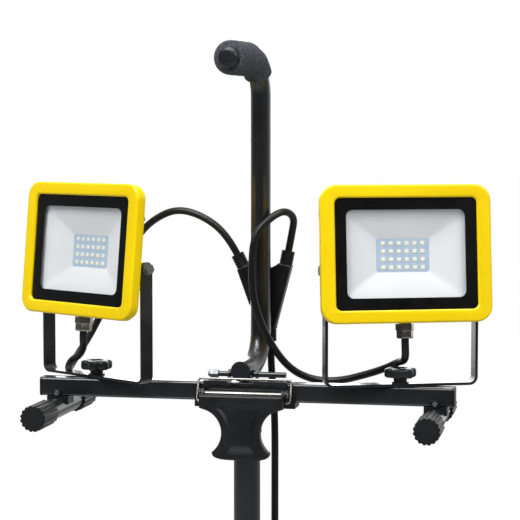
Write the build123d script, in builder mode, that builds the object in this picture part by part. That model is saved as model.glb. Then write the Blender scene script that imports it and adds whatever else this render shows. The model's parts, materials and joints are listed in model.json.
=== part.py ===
from build123d import *
import os
from math import cos, radians, sin, tan

# Twin lamp work light on a folding tripod, in millimetres.
# The origin is on the floor under the mast. +X is to the right of a person facing the lamps,
# +Y points away from that person, behind the light, and +Z is up.

# ---------------------------------------------------------------- driving dimensions
# Lamp heads
head_width = 180.0
head_height = 142.0
head_corner = 17.0
head_rise = 16.0  # head centre above the tilt axis
face_ahead = 27.5  # front face ahead of the tilt axis
bezel_depth = 9.0
window_width = 150.0
window_height = 115.0
window_corner = 6.0
glass_lap = 4.0
glass_thickness = 4.0
lip_depth = 3.0
opening_width = 126.0  # clear part of the printed glass, which is the mouth of the reflector
opening_height = 91.0
housing_flange = 4.0
housing_back = 10.0  # back face behind the tilt axis
housing_wall = 3.0
fin_depth = 8.0
fin_count = 9
board_width = 60.0
board_height = 40.0
board_thickness = 1.6
chip_columns = 6
chip_rows = 4
chip_pitch_x = 8.4
chip_pitch_z = 8.3
chip_width = 3.8
chip_height = 3.4
board_drop = 1.2  # board centre below the head's centre
board_depth = 18.5  # board's face behind the bezel's front
lug_radius = 7.0
tilt_bolt_radius = 3.0
tilt_bolt_grip = 14.0
gland_ahead = 11.5
gland_across = 17.5
gland_drop = 71.0  # end of the gland below the tilt axis

# Lamp brackets
bracket_gap = 157.0
bracket_strip = 3.0
bracket_depth = 15.0
bracket_bend = 6.0
stud_radius = 4.0
lamp_spacing = 328.4
lamp_shift = -1.2  # middle of the two lamps beside the mast axis

# Crossbar, feet and carrying handle
bar_height = 820.0  # crossbar centre above the floor
bar_length = 441.0
bar_side = 20.0
bar_wall = 1.5
bar_corner = 3.0
bar_shift = -3.0  # crossbar centre beside the mast axis
tilt_height = 131.0  # tilt axis above the crossbar centre
foot_spacing = 407.0
foot_tube_radius = 11.0
foot_length = 186.0
foot_cap_radius = 13.8
foot_cap_length = 45.0
flute_count = 16
handle_radius = 11.0
handle_wall = 1.5
handle_yaw = 10.0
handle_shift = -1.9  # fixing bolt's crossing beside the crossbar's centre
handle_setback = 53.0
handle_rise = 350.0  # grip axis above the crossbar centre
handle_reach = 36.0  # grip end ahead of the fixing bolt
grip_radius = 18.0

# Mast, latch and tripod
mast_top_radius = 14.0
mast_base_radius = 16.5
mast_wall = 1.5
mast_base_top = 650.0
mast_base_bottom = 130.0
mast_overlap = 350.0
cradle_length = 108.0
lever_width = 88.5
rod_radius = 3.0
wire_radius = 1.4
hub_height = 540.0
hinge_reach = 29.5  # leg hinges from the mast axis
leg_radius = 9.5
leg_angle = 32.0  # from the upright, when standing
foot_pad_radius = 12.0

# Leads
lead_radius = 4.0
coil_radius = 44.0

# Clearances
slip = 0.05  # running fit, on the radius
gap = 0.3  # between pieces that pass each other
fit = 0.1  # between pieces that seat in each other
thread_slack = 0.05

# ---------------------------------------------------------------- places worked out from them
bar_half = bar_side / 2
bar_top = bar_height + bar_half
head_back = face_ahead - bezel_depth  # joint face between bezel and housing
lamp_yaws = {"left": -32.8, "right": 21.5}
lamp_tilts = {"left": 5.5, "right": 5.7}
lamp_sides = {"left": lamp_shift - lamp_spacing / 2, "right": lamp_shift + lamp_spacing / 2}
leg_azimuths = {"front": -90.0, "right": 30.0, "left": 150.0}


def save(piece, label, place=Location()):
    """Write one finished piece, set in its place on the light."""
    part = piece.part.moved(place)
    part.label = label
    export_step(part, f"parts/{label}.step")


def face_plane(ahead):
    """Plane facing forwards, this far ahead of the tilt axis and centred on the head."""
    return Plane(origin=(0, -ahead, head_rise), x_dir=(1, 0, 0), z_dir=(0, -1, 0))


def star(radius, lobes):
    """Outline of a lobed hand knob."""
    Circle(radius * 0.8)
    with PolarLocations(radius * 0.72, lobes):
        Circle(radius * 0.28)


def hexagon_radius(across_flats):
    return across_flats / 2 / cos(radians(30))


# ---------------------------------------------------------------- lamp head, about its tilt axis
def make_bezel():
    """Front frame with the window, a rebate for glass and gasket, and blind screw holes."""
    with BuildPart() as bezel:
        with BuildSketch(face_plane(face_ahead)):
            RectangleRounded(head_width, head_height, head_corner)
        extrude(amount=-bezel_depth)
        fillet(bezel.faces().sort_by(Axis.Y)[0].edges(), 2.5)
        with BuildSketch(face_plane(face_ahead)):
            RectangleRounded(window_width, window_height, window_corner)
        extrude(amount=-bezel_depth, mode=Mode.SUBTRACT)
        chamfer(bezel.faces().sort_by(Axis.Y)[0].inner_wires()[0].edges(), 1.5)
        with BuildSketch(face_plane(face_ahead - lip_depth)):
            RectangleRounded(
                window_width + 2 * (glass_lap + fit),
                window_height + 2 * (glass_lap + fit),
                window_corner + glass_lap,
            )
        extrude(amount=-bezel_depth, mode=Mode.SUBTRACT)
        with BuildSketch(face_plane(head_back)):
            bezel_screw_pattern(screw_radius)
        extrude(amount=screw_bite + 0.5, mode=Mode.SUBTRACT)
    return bezel


screw_radius = 1.5
screw_bite = 4.5
screw_head_radius = 2.9
screw_head_height = 2.2


def bezel_screw_pattern(radius):
    """Circles at the eight bezel screws, in the frame's side and end strips."""
    side_x = (head_width / 2 + window_width / 2 + glass_lap) / 2
    side_z = (head_height / 2 + window_height / 2 + glass_lap) / 2
    with GridLocations(2 * side_x, head_height / 2, 2, 2):
        Circle(radius)
    with GridLocations(head_width / 2, 2 * side_z, 2, 2):
        Circle(radius)


def make_bezel_screws():
    """Screws that hold the bezel from behind the housing's flange."""
    flange_back = head_back - housing_flange
    with BuildPart() as screws:
        with BuildSketch(face_plane(flange_back)):
            bezel_screw_pattern(screw_radius)
        extrude(amount=housing_flange + screw_bite)
        with BuildSketch(face_plane(flange_back)):
            bezel_screw_pattern(screw_head_radius)
        extrude(amount=-screw_head_height)
    return screws


def make_glass():
    with BuildPart() as glass:
        with BuildSketch(face_plane(face_ahead - lip_depth)):
            RectangleRounded(
                window_width + 2 * glass_lap,
                window_height + 2 * glass_lap,
                window_corner + glass_lap,
            )
        extrude(amount=-glass_thickness)
    return glass


def make_gasket():
    """Silicone frame between the glass and the housing's flange."""
    with BuildPart() as gasket:
        with BuildSketch(face_plane(head_back)):
            RectangleRounded(
                window_width + 2 * glass_lap,
                window_height + 2 * glass_lap,
                window_corner + glass_lap,
            )
            RectangleRounded(window_width, window_height, window_corner, mode=Mode.SUBTRACT)
        extrude(amount=bezel_depth - lip_depth - glass_thickness)
    return gasket


board_front = face_ahead - board_depth  # ahead of the tilt axis
tray_sheet = 1.0
tray_floor_width = board_width - 3.5
tray_floor_height = board_height - 5


def make_reflector():
    """Shallow white tray with sloping walls and a hole over the LED board."""
    rim_back = head_back
    with BuildPart() as reflector:
        with BuildSketch(face_plane(rim_back)):
            RectangleRounded(window_width - 1, window_height - 3, window_corner)
        extrude(amount=tray_sheet)
        with BuildSketch(face_plane(rim_back)):
            RectangleRounded(opening_width + 2 * tray_sheet, opening_height + 2 * tray_sheet, 8)
        with BuildSketch(face_plane(board_front)):
            with Locations((0, -board_drop)):
                RectangleRounded(
                    tray_floor_width + 2 * tray_sheet, tray_floor_height + 2 * tray_sheet, 3
                )
        loft()
        with BuildSketch(face_plane(rim_back + tray_sheet)):
            RectangleRounded(opening_width, opening_height, 8)
        with BuildSketch(face_plane(board_front)):
            with Locations((0, -board_drop)):
                RectangleRounded(tray_floor_width, tray_floor_height, 3)
        loft(mode=Mode.SUBTRACT)
    return reflector


def make_board():
    """LED board on the housing's pedestal."""
    with BuildPart() as board:
        with BuildSketch(face_plane(board_front)):
            with Locations((0, -board_drop)):
                Rectangle(board_width, board_height)
        extrude(amount=-board_thickness)
    return board


def make_chips():
    """LED packages in rows on the board."""
    with BuildPart() as chips:
        with BuildSketch(face_plane(board_front)):
            with Locations((0, -board_drop)):
                with GridLocations(chip_pitch_x, chip_pitch_z, chip_columns, chip_rows):
                    Rectangle(chip_width, chip_height)
        extrude(amount=0.7)
    return chips


driver_height = 12.0


def make_driver():
    """Potted driver block under the pedestal, on the housing's back wall."""
    with BuildPart() as driver:
        with BuildSketch(face_plane(housing_wall - housing_back)):
            with Locations((0, -board_drop - board_height / 2 - 4 - driver_height / 2)):
                RectangleRounded(70, driver_height, 2)
        extrude(amount=9)
    return driver


def make_housing():
    """Cast rear shell: flange, tapering tray, finned back, bolt lugs and gland boss."""
    flange_back = head_back - housing_flange
    root_width = bracket_gap - 9
    root_height = window_height + 3
    back_width = root_width - 36
    back_height = root_height - 34
    pedestal_face = board_front - board_thickness
    lug_end = bracket_gap / 2 - 0.5
    with BuildPart() as housing:
        with BuildSketch(face_plane(head_back)):
            RectangleRounded(head_width - 4, head_height - 4, head_corner - 2)
        extrude(amount=-housing_flange)
        with BuildSketch(face_plane(flange_back)):
            RectangleRounded(root_width, root_height, 12)
        with BuildSketch(face_plane(-housing_back)):
            RectangleRounded(back_width, back_height, 8)
        loft()
        with BuildSketch(Plane.YZ.offset(-lug_end)):
            Circle(lug_radius)
        extrude(amount=2 * lug_end)
        boss_floor = -(head_height / 2 - head_rise) - 0.5
        with BuildSketch(Plane.XY.offset(boss_floor)):
            with Locations((0, -gland_ahead)):
                Circle(lug_radius - gap)
        extrude(amount=20)
        with BuildSketch(face_plane(-housing_back)):
            with GridLocations(back_width / fin_count, 1, fin_count, 1):
                Rectangle(2, back_height - 4)
        extrude(amount=-fin_depth)
        with BuildSketch(face_plane(head_back)):
            RectangleRounded(window_width - 6, window_height - 9, 8)
        with BuildSketch(face_plane(housing_wall - housing_back)):
            RectangleRounded(back_width - 8, back_height - 8, 5)
        loft(mode=Mode.SUBTRACT)
        with BuildSketch(face_plane(housing_wall - housing_back)):
            with Locations((0, -board_drop)):
                Rectangle(board_width + 4, board_height + 4)
        extrude(amount=pedestal_face + housing_back - housing_wall)
        with BuildSketch(face_plane(flange_back)):
            bezel_screw_pattern(screw_radius)
        extrude(amount=housing_flange, mode=Mode.SUBTRACT)
        with BuildSketch(Plane.XY.offset(boss_floor)):
            with Locations((0, -gland_ahead)):
                Circle(gland_thread_radius)
        extrude(amount=20, mode=Mode.SUBTRACT)
        for side in (-1, 1):
            with BuildSketch(Plane.YZ.offset(side * lug_end)):
                Circle(tilt_bolt_radius)
            extrude(amount=-side * tilt_bolt_grip, mode=Mode.SUBTRACT)
    return housing


gland_thread_radius = 5.0


def make_gland():
    """Cable gland: threaded neck and hexagon body, and a dome nut with the lead's seat."""
    body_top = -(head_height / 2 - head_rise) - 0.5
    nut_top = body_top - 7
    across_corners = hexagon_radius(gland_across)
    with BuildPart() as gland:
        with BuildSketch(Plane.XY.offset(body_top)):
            with Locations((0, -gland_ahead)):
                Circle(gland_thread_radius - thread_slack)
        extrude(amount=9)
        with BuildSketch(Plane.XY.offset(body_top)):
            with Locations((0, -gland_ahead)):
                RegularPolygon(across_corners, 6)
        extrude(amount=nut_top - body_top)
        with BuildSketch(Plane.XY.offset(nut_top)):
            with Locations((0, -gland_ahead)):
                RegularPolygon(across_corners - 1, 6)
        extrude(amount=-gland_drop - nut_top)
        fillet(gland.faces().sort_by(Axis.Z)[0].edges(), 2)
        with BuildSketch(Plane.XY.offset(-gland_drop)):
            with Locations((0, -gland_ahead)):
                Circle(lead_radius + 2 * fit)
        extrude(amount=lead_seat, mode=Mode.SUBTRACT)
    return gland


lead_seat = 4.0


def make_tilt_bolts():
    """Hexagon bolts with washers, through the bracket's arms into the housing's lugs."""
    outside = bracket_gap / 2 + bracket_strip
    with BuildPart() as bolts:
        for side in (-1, 1):
            with BuildSketch(Plane.YZ.offset(side * (outside + 1.2))):
                Circle(tilt_bolt_radius - thread_slack)
            extrude(amount=-side * (bracket_strip + 1.2 + tilt_bolt_grip))
            with BuildSketch(Plane.YZ.offset(side * outside)):
                Circle(6.5)
            extrude(amount=side * 1.2)
            with BuildSketch(Plane.YZ.offset(side * (outside + 1.2))):
                RegularPolygon(hexagon_radius(10), 6)
            extrude(amount=side * 4)
    return bolts


def make_bracket():
    """Bent strip bracket: base on the crossbar and two arms up to the tilt axis."""
    outer = bracket_gap + 2 * bracket_strip
    axis_up = tilt_height - bar_half
    with BuildPart() as bracket:
        with BuildSketch(Plane.XZ.offset(-bracket_depth / 2)):
            with BuildLine():
                top = axis_up + bracket_depth / 2
                FilletPolyline(
                    (-outer / 2, top),
                    (-outer / 2, 0),
                    (outer / 2, 0),
                    (outer / 2, top),
                    radius=bracket_bend + bracket_strip,
                )
                Line((outer / 2, top), (-outer / 2, top))
            make_face()
            with BuildLine():
                FilletPolyline(
                    (-bracket_gap / 2, top),
                    (-bracket_gap / 2, bracket_strip),
                    (bracket_gap / 2, bracket_strip),
                    (bracket_gap / 2, top),
                    radius=bracket_bend,
                )
                Line((bracket_gap / 2, top), (-bracket_gap / 2, top))
            make_face(mode=Mode.SUBTRACT)
        extrude(amount=bracket_depth)
        with BuildSketch(Plane.YZ.offset(-outer / 2)):
            with Locations((0, axis_up / 2)):
                Rectangle(bracket_depth, axis_up)
            with Locations((0, axis_up)):
                Circle(bracket_depth / 2)
        extrude(amount=outer, mode=Mode.INTERSECT)
        with BuildSketch(Plane.YZ.offset(-outer / 2)):
            with Locations((0, axis_up)):
                Circle(tilt_bolt_radius)
        extrude(amount=outer, mode=Mode.SUBTRACT)
        with BuildSketch():
            Circle(stud_radius + gap)
        extrude(amount=bracket_strip, mode=Mode.SUBTRACT)
    return bracket


def make_bracket_knob():
    """Star knob with a flange and its threaded stud, about the bracket's turning axis."""
    seat = bracket_strip
    with BuildPart() as knob:
        with BuildSketch(Plane.XY.offset(seat)):
            Circle(9)
        extrude(amount=1.5)
        with BuildSketch(Plane.XY.offset(seat + 1.5)):
            Circle(7)
        extrude(amount=5)
        with BuildSketch(Plane.XY.offset(seat + 6)):
            star(17, 6)
        extrude(amount=10)
        fillet(knob.faces().sort_by(Axis.Z)[-1].edges(), 1.5)
        with BuildSketch(Plane.XY.offset(seat)):
            Circle(stud_radius - slip)
        extrude(amount=-(seat + bar_wall + 8))
    return knob


def make_lamp(side):
    """Both lamps are the same pieces, turned and tilted differently."""
    base = Location((lamp_sides[side], 0, bar_top), (0, 0, lamp_yaws[side]))
    tilt_axis = Location((0, 0, tilt_height - bar_half), (-lamp_tilts[side], 0, 0))
    head = base * tilt_axis
    save(make_bezel(), f"lamp_bezel_{side}", head)
    save(make_bezel_screws(), f"bezel_screws_{side}", head)
    save(make_glass(), f"lamp_glass_{side}", head)
    save(make_gasket(), f"lamp_gasket_{side}", head)
    save(make_reflector(), f"lamp_reflector_{side}", head)
    save(make_board(), f"led_board_{side}", head)
    save(make_chips(), f"led_chips_{side}", head)
    save(make_driver(), f"led_driver_{side}", head)
    save(make_housing(), f"lamp_housing_{side}", head)
    save(make_gland(), f"lamp_gland_{side}", head)
    save(make_tilt_bolts(), f"tilt_bolts_{side}", head)
    save(make_bracket(), f"lamp_bracket_{side}", base)
    save(make_bracket_knob(), f"bracket_knob_{side}", base)


# ---------------------------------------------------------------- crossbar, about its own centre
bar_place = Location((bar_shift, 0, bar_height))
stud_places = [(x - bar_shift, 0) for x in lamp_sides.values()]
foot_places = [(-foot_spacing / 2, 0), (foot_spacing / 2, 0)]


def make_crossbar():
    """Square tube with holes for the bracket studs in its top wall and for the saddle screws."""
    with BuildPart() as crossbar:
        with BuildSketch(Plane.YZ.offset(-bar_length / 2)):
            RectangleRounded(bar_side, bar_side, bar_corner)
            RectangleRounded(
                bar_side - 2 * bar_wall,
                bar_side - 2 * bar_wall,
                bar_corner - bar_wall,
                mode=Mode.SUBTRACT,
            )
        extrude(amount=bar_length)
        with BuildSketch(Plane.XY.offset(bar_half)):
            with Locations(*stud_places):
                Circle(stud_radius + gap)
        extrude(amount=-2 * bar_wall, mode=Mode.SUBTRACT)
        with BuildSketch(Plane.XZ.offset(-bar_half)):
            with Locations(*saddle_screw_places()):
                Circle(saddle_screw_radius)
        extrude(amount=bar_side, mode=Mode.SUBTRACT)
    return crossbar


def make_crossbar_caps():
    """Plastic end plugs of the square tube."""
    inside = bar_side - 2 * bar_wall - 2 * fit
    with BuildPart() as caps:
        for side in (-1, 1):
            with BuildSketch(Plane.YZ.offset(side * bar_length / 2)):
                RectangleRounded(bar_side, bar_side, bar_corner)
            extrude(amount=side * 3)
            with BuildSketch(Plane.YZ.offset(side * bar_length / 2)):
                RectangleRounded(inside, inside, 1.2)
            extrude(amount=-side * 8)
    return caps


foot_drop = bar_half + foot_tube_radius + 1  # foot tube axis below the crossbar's centre
saddle_screw_radius = 1.6
saddle_screw_drop = 6.5


def saddle_screw_places():
    return [(x, -saddle_screw_drop) for x, _ in foot_places]


def make_foot_tubes():
    """Round tubes under the ends of the crossbar, which stand the lamps on the ground."""
    inner = foot_tube_radius - 1.5
    with BuildPart() as tubes:
        with BuildSketch(Plane.XZ.offset(foot_length / 2 - 4)):
            with Locations(*[(x, -foot_drop) for x, _ in foot_places]):
                Circle(foot_tube_radius)
                Circle(inner, mode=Mode.SUBTRACT)
        extrude(amount=-(foot_length - 8))
    return tubes


def make_foot_caps():
    """Fluted caps over the four tube ends."""
    with BuildPart() as caps:
        for side in (-1, 1):
            with BuildSketch(Plane.XZ.offset(-side * foot_length / 2)):
                for x, _ in foot_places:
                    with Locations((x, -foot_drop)):
                        Circle(foot_cap_radius)
                        with PolarLocations(foot_cap_radius + 0.5, flute_count):
                            Circle(1.6, mode=Mode.SUBTRACT)
            extrude(amount=side * foot_cap_length)
            with BuildSketch(Plane.XZ.offset(-side * (foot_length / 2 - 4))):
                for x, _ in foot_places:
                    with Locations((x, -foot_drop)):
                        Circle(foot_tube_radius + slip)
            extrude(amount=side * foot_cap_length, mode=Mode.SUBTRACT)
    return caps


def make_foot_saddles():
    """Plastic saddles between the crossbar and the foot tubes, with a small tab up the front."""
    depth = bar_side + 4
    with BuildPart() as saddles:
        with BuildSketch(Plane.XY.offset(-bar_half)):
            with Locations(*foot_places):
                Rectangle(24, bar_side)
        extrude(amount=-9)
        with BuildSketch(Plane.XZ.offset(bar_half)):
            with Locations(*[(x, -bar_half + 1) for x, _ in foot_places]):
                RectangleRounded(9, 12, 2)
        extrude(amount=2)
        with BuildSketch(Plane.XZ.offset(-depth / 2)):
            for x, _ in foot_places:
                with Locations((x, -foot_drop)):
                    Circle(foot_tube_radius + slip)
        extrude(amount=depth, mode=Mode.SUBTRACT)
        with BuildSketch(Plane.YZ.offset(-bar_length / 2)):
            Rectangle(bar_side, bar_side)
        extrude(amount=bar_length, mode=Mode.SUBTRACT)
        with BuildSketch(Plane.XZ.offset(-depth / 2)):
            with Locations(*saddle_screw_places()):
                Circle(saddle_screw_radius)
        extrude(amount=depth, mode=Mode.SUBTRACT)
    return saddles


handle_foot_end = -5.5  # front end of the handle's foot, from the fixing bolt
handle_bend = 38.0
handle_bolt_up = bar_half + 7.0
ear_gap = 2 * handle_radius + 6
ear_sheet = 2.0


def handle_path(start, tail=0.0):
    """Centre line of the handle in its own plane, from this far along its foot."""
    foot_up = bar_half + handle_radius + fit
    with BuildLine(Plane.YZ) as path:
        FilletPolyline(
            (start, foot_up),
            (handle_setback, foot_up),
            (handle_setback, handle_rise),
            (-handle_reach - tail, handle_rise),
            radius=handle_bend,
        )
    return path.line


def make_handle_tube():
    """Bent tube: foot on the crossbar, upright, and a forward reach under the grip."""
    with BuildPart() as tube:
        path = handle_path(handle_foot_end)
        with BuildSketch(Plane(origin=path @ 0, z_dir=path % 0)):
            Circle(handle_radius)
            Circle(handle_radius - handle_wall, mode=Mode.SUBTRACT)
        sweep(path=path)
        along_bolt = Vector(1, 0, 0).rotate(Axis.Z, handle_yaw)
        crossing = Vector(0, handle_bolt_back / cos(radians(handle_yaw)), handle_bolt_up)
        with BuildSketch(Plane(origin=crossing, z_dir=along_bolt)):
            Circle(handle_bolt_radius + fit)
        extrude(amount=2 * handle_radius, both=True, mode=Mode.SUBTRACT)
    return tube


handle_bolt_radius = 3.0
handle_bolt_back = 6.0
grip_bend_start = 35.0  # degrees into the top bend, where the foam begins
grip_thin = 4.0  # foam thickness round the bend


def make_grip():
    """Foam sleeve over the handle's top bend, thicker along the forward reach."""
    bend_back = handle_setback - handle_bend
    bend_up = handle_rise - handle_bend
    with BuildPart() as grip:
        with BuildLine(Plane.YZ) as path:
            CenterArc((bend_back, bend_up), handle_bend, grip_bend_start, 90 - grip_bend_start)
            Line((bend_back, handle_rise), (-handle_reach, handle_rise))
        line = path.wires()[0]
        with BuildSketch(Plane(origin=line @ 0, z_dir=line % 0)):
            Circle(handle_radius + grip_thin)
        sweep(path=line)
        with BuildSketch(Plane.XZ.offset(handle_reach)):
            with Locations((0, handle_rise)):
                Circle(grip_radius)
        extrude(amount=-handle_reach - bend_back)
        fillet(grip.edges().filter_by(GeomType.CIRCLE).group_by(Axis.Y)[0], 2.5)
        with BuildSketch(Plane(origin=line @ 0, z_dir=line % 0)):
            Circle(handle_radius + fit)
        sweep(path=line, mode=Mode.SUBTRACT)
    return grip


def make_handle_plugs():
    """Domed plug in the grip's open end and a flat one in the foot's front end."""
    with BuildPart() as plugs:
        with BuildSketch(Plane.XZ.offset(handle_reach)):
            with Locations((0, handle_rise)):
                Circle(handle_radius + 0.8)
        extrude(amount=8)
        fillet(plugs.faces().sort_by(Axis.Y)[0].edges(), 5.5)
        with BuildSketch(Plane.XZ.offset(handle_reach)):
            with Locations((0, handle_rise)):
                Circle(handle_radius - handle_wall - fit)
        extrude(amount=-12)
        with BuildSketch(Plane.XZ.offset(-handle_foot_end)):
            with Locations((0, bar_half + handle_radius + fit)):
                Circle(handle_radius - 0.3)
        extrude(amount=1.5)
        with BuildSketch(Plane.XZ.offset(-handle_foot_end)):
            with Locations((0, bar_half + handle_radius + fit)):
                Circle(handle_radius - handle_wall - fit)
        extrude(amount=-5)
    return plugs


def make_fasteners():
    """Saddle screws, the nuts inside the bar for the studs, and the handle's long bolt."""
    with BuildPart() as fasteners:
        with BuildSketch(Plane.XZ.offset(bar_half + 2)):
            with Locations(*saddle_screw_places()):
                Circle(2.6)
        extrude(amount=1.6)
        with BuildSketch(Plane.XZ.offset(bar_half + 2)):
            with Locations(*saddle_screw_places()):
                Circle(saddle_screw_radius - thread_slack)
        extrude(amount=-7)
        with BuildSketch(Plane.XY.offset(bar_half - bar_wall)):
            with Locations(*stud_places):
                RegularPolygon(hexagon_radius(13), 6)
                Circle(stud_radius, mode=Mode.SUBTRACT)
        extrude(amount=-6.5)
        bolt_place = (handle_bolt_back, handle_bolt_up)
        with BuildSketch(Plane.YZ.offset(-40)):
            with Locations(bolt_place):
                Circle(handle_bolt_radius)
        extrude(amount=84)
        with BuildSketch(Plane.YZ.offset(-38)):
            with Locations(bolt_place):
                RegularPolygon(hexagon_radius(8), 6)
        extrude(amount=9)
    return fasteners


# ---------------------------------------------------------------- latch, about the crossbar's height
latch_place = Location((0, 0, bar_height))
rod_y = -20.0
rod_z = -1.0
bail_arm = 8.0  # bail hinge below the rod
bail_reach = 50.0  # bail arm from the mast's axis
plate_sheet = 2.0
plate_half = 45.0
cradle_base = 6.0
cradle_wall = 2.7
socket_length = 28.0
socket_wall = 1.6
rod_ear_inner = lever_width / 2 + 0.5
bail_hinge_z = rod_z - bail_arm
bail_top_y = -11.0
bail_top_z = bar_half + plate_sheet + wire_radius + gap


def make_cradle():
    """Channel under the crossbar on a socket for the mast, with ears for the lever's rod."""
    inside = bar_half + gap
    outside = inside + cradle_wall
    floor = -bar_half
    with BuildPart() as cradle:
        with BuildSketch(Plane.YZ.offset(-cradle_length / 2)):
            with BuildLine():
                Polyline(
                    (-outside, floor - cradle_base),
                    (outside, floor - cradle_base),
                    (outside, 2),
                    (inside, 2),
                    (inside, floor),
                    (-inside, floor),
                    (-inside, -2),
                    (-outside, -2),
                    close=True,
                )
            make_face()
        extrude(amount=cradle_length)
        with BuildSketch(Plane.XY.offset(floor - cradle_base)):
            Circle(mast_top_radius + socket_wall)
        extrude(amount=-socket_length)
        with BuildSketch(Plane.XY.offset(floor - cradle_base)):
            Circle(mast_top_radius + slip)
        extrude(amount=-socket_length, mode=Mode.SUBTRACT)
        for side in (-1, 1):
            with BuildSketch(Plane.YZ.offset(side * rod_ear_inner)):
                with Locations((rod_y, rod_z)):
                    Circle(rod_radius + 2.5)
                with Locations(((rod_y - inside) / 2, rod_z - 1)):
                    Rectangle(abs(rod_y) - inside, 9)
            extrude(amount=side * 3)
        with BuildSketch(Plane.YZ.offset(-cradle_length / 2)):
            with Locations((rod_y, rod_z)):
                Circle(rod_radius)
        extrude(amount=cradle_length, mode=Mode.SUBTRACT)
    return cradle


def make_clamp_plate():
    """Bent steel plate on the crossbar: wavy front lip, rear lip and two ears for the handle."""
    handle_x = bar_shift + handle_shift
    top = bar_half + plate_sheet
    half_depth = bar_half + plate_sheet
    with BuildPart() as plate:
        with BuildSketch(Plane.XZ.offset(-half_depth)):
            with BuildLine():
                Polyline(
                    (-plate_half, bar_half),
                    (-plate_half, top),
                    (plate_half, top),
                    (plate_half, bar_half - 5),
                    (plate_half - 6, bar_half - 5),
                )
                scallops = 4
                span = (2 * plate_half - 12) / scallops
                for count in range(scallops):
                    right = plate_half - 6 - count * span
                    ThreePointArc(
                        (right, bar_half - 5),
                        (right - span / 2, bar_half - 2.5),
                        (right - span, bar_half - 5),
                    )
                Polyline(
                    (-plate_half + 6, bar_half - 5), (-plate_half, bar_half - 5), (-plate_half, bar_half)
                )
            make_face()
        extrude(amount=2 * half_depth)
        with BuildSketch(Plane.YZ.offset(-plate_half)):
            Rectangle(bar_side, bar_side)
        extrude(amount=2 * plate_half, mode=Mode.SUBTRACT)
        with BuildSketch(Plane.XY.offset(bar_half)):
            with Locations((handle_x, 0)):
                Rectangle(ear_gap, 4 * half_depth)
        extrude(amount=plate_sheet, mode=Mode.SUBTRACT)
        for side in (-1, 1):
            with BuildSketch(Plane.YZ.offset(handle_x + side * ear_gap / 2)):
                with Locations((handle_bolt_back - 1, (bar_half + handle_bolt_up) / 2)):
                    Rectangle(11, handle_bolt_up - bar_half)
                with Locations((handle_bolt_back - 1, handle_bolt_up)):
                    Circle(5.5)
            extrude(amount=side * ear_sheet)
        with BuildSketch(Plane.YZ.offset(-plate_half)):
            with Locations((handle_bolt_back, handle_bolt_up)):
                Circle(handle_bolt_radius + thread_slack)
        extrude(amount=2 * plate_half, mode=Mode.SUBTRACT)
    return plate


def make_rod():
    """Polished rod that the lever turns on."""
    half = rod_ear_inner + 3 + 0.7
    with BuildPart() as rod:
        with BuildSketch(Plane.YZ.offset(-half)):
            with Locations((rod_y, rod_z)):
                Circle(rod_radius)
        extrude(amount=2 * half)
        chamfer(rod.edges().filter_by(GeomType.CIRCLE), 0.6)
    return rod


lever_top = -0.8
lever_front = 36.0
lever_thickness = 9.0
lever_bottom = -68.5


def lever_outline():
    """Waisted outline of the lever's plate, flared and rounded at the foot."""
    half = lever_width / 2
    shoulder = lever_top - 14
    flare, waist = lever_width * 0.346, lever_width * 0.233
    low = lever_bottom + 8.2
    foot = lever_bottom + 1.8
    with BuildLine() as outline:
        Polyline((-half, shoulder), (-half, lever_top), (half, lever_top), (half, shoulder))
        ThreePointArc((half, shoulder), (waist, -39.5), (flare, low))
        ThreePointArc((flare, low), (flare - 0.4, low - 4.6), (flare - 4.6, foot))
        ThreePointArc((flare - 4.6, foot), (0, lever_bottom), (4.6 - flare, foot))
        ThreePointArc((4.6 - flare, foot), (0.4 - flare, low - 4.6), (-flare, low))
        ThreePointArc((-flare, low), (-waist, -39.5), (-half, shoulder))
    return outline.line.edges()


def recess_outline():
    """Outline of the shallow recess in the lever's front."""
    top = lever_top - 10
    bottom = lever_bottom + 8
    with BuildLine() as outline:
        Line((-29.0, top), (29.0, top))
        ThreePointArc((29.0, top), (14.5, -38.0), (18.5, bottom))
        Line((18.5, bottom), (-18.5, bottom))
        ThreePointArc((-18.5, bottom), (-14.5, -38.0), (-29.0, top))
    return outline.line.edges()


def make_lever():
    """Waisted pull lever with a recessed front and two knuckles round the rod."""
    knuckle = 3.0
    with BuildPart() as lever:
        with BuildSketch(Plane.XZ.offset(lever_front - lever_thickness)):
            make_face(lever_outline())
        extrude(amount=lever_thickness)
        with BuildSketch(Plane.XZ.offset(lever_front)):
            make_face(recess_outline())
        extrude(amount=-2.5, mode=Mode.SUBTRACT)
        for side in (-1, 1):
            with BuildSketch(Plane.YZ.offset(side * lever_width / 2)):
                with Locations((rod_y, rod_z)):
                    Circle(rod_radius + 2.5)
                with Locations((rod_y, bail_hinge_z)):
                    Circle(wire_radius + 2)
                with BuildLine():
                    back = -(lever_front - lever_thickness)
                    Polyline(
                        (back, lever_top),
                        (rod_y, rod_z + 2),
                        (rod_y + 4, rod_z),
                        (rod_y + 2, bail_hinge_z),
                        (rod_y, bail_hinge_z - 3),
                        (back, bail_hinge_z - 6),
                        close=True,
                    )
                make_face()
            extrude(amount=-side * knuckle)
        with BuildSketch(Plane.YZ.offset(-lever_width)):
            with Locations((rod_y, rod_z)):
                Circle(rod_radius + slip)
            with Locations((rod_y, bail_hinge_z)):
                Circle(wire_radius + slip)
        extrude(amount=2 * lever_width, mode=Mode.SUBTRACT)
    return lever


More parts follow.
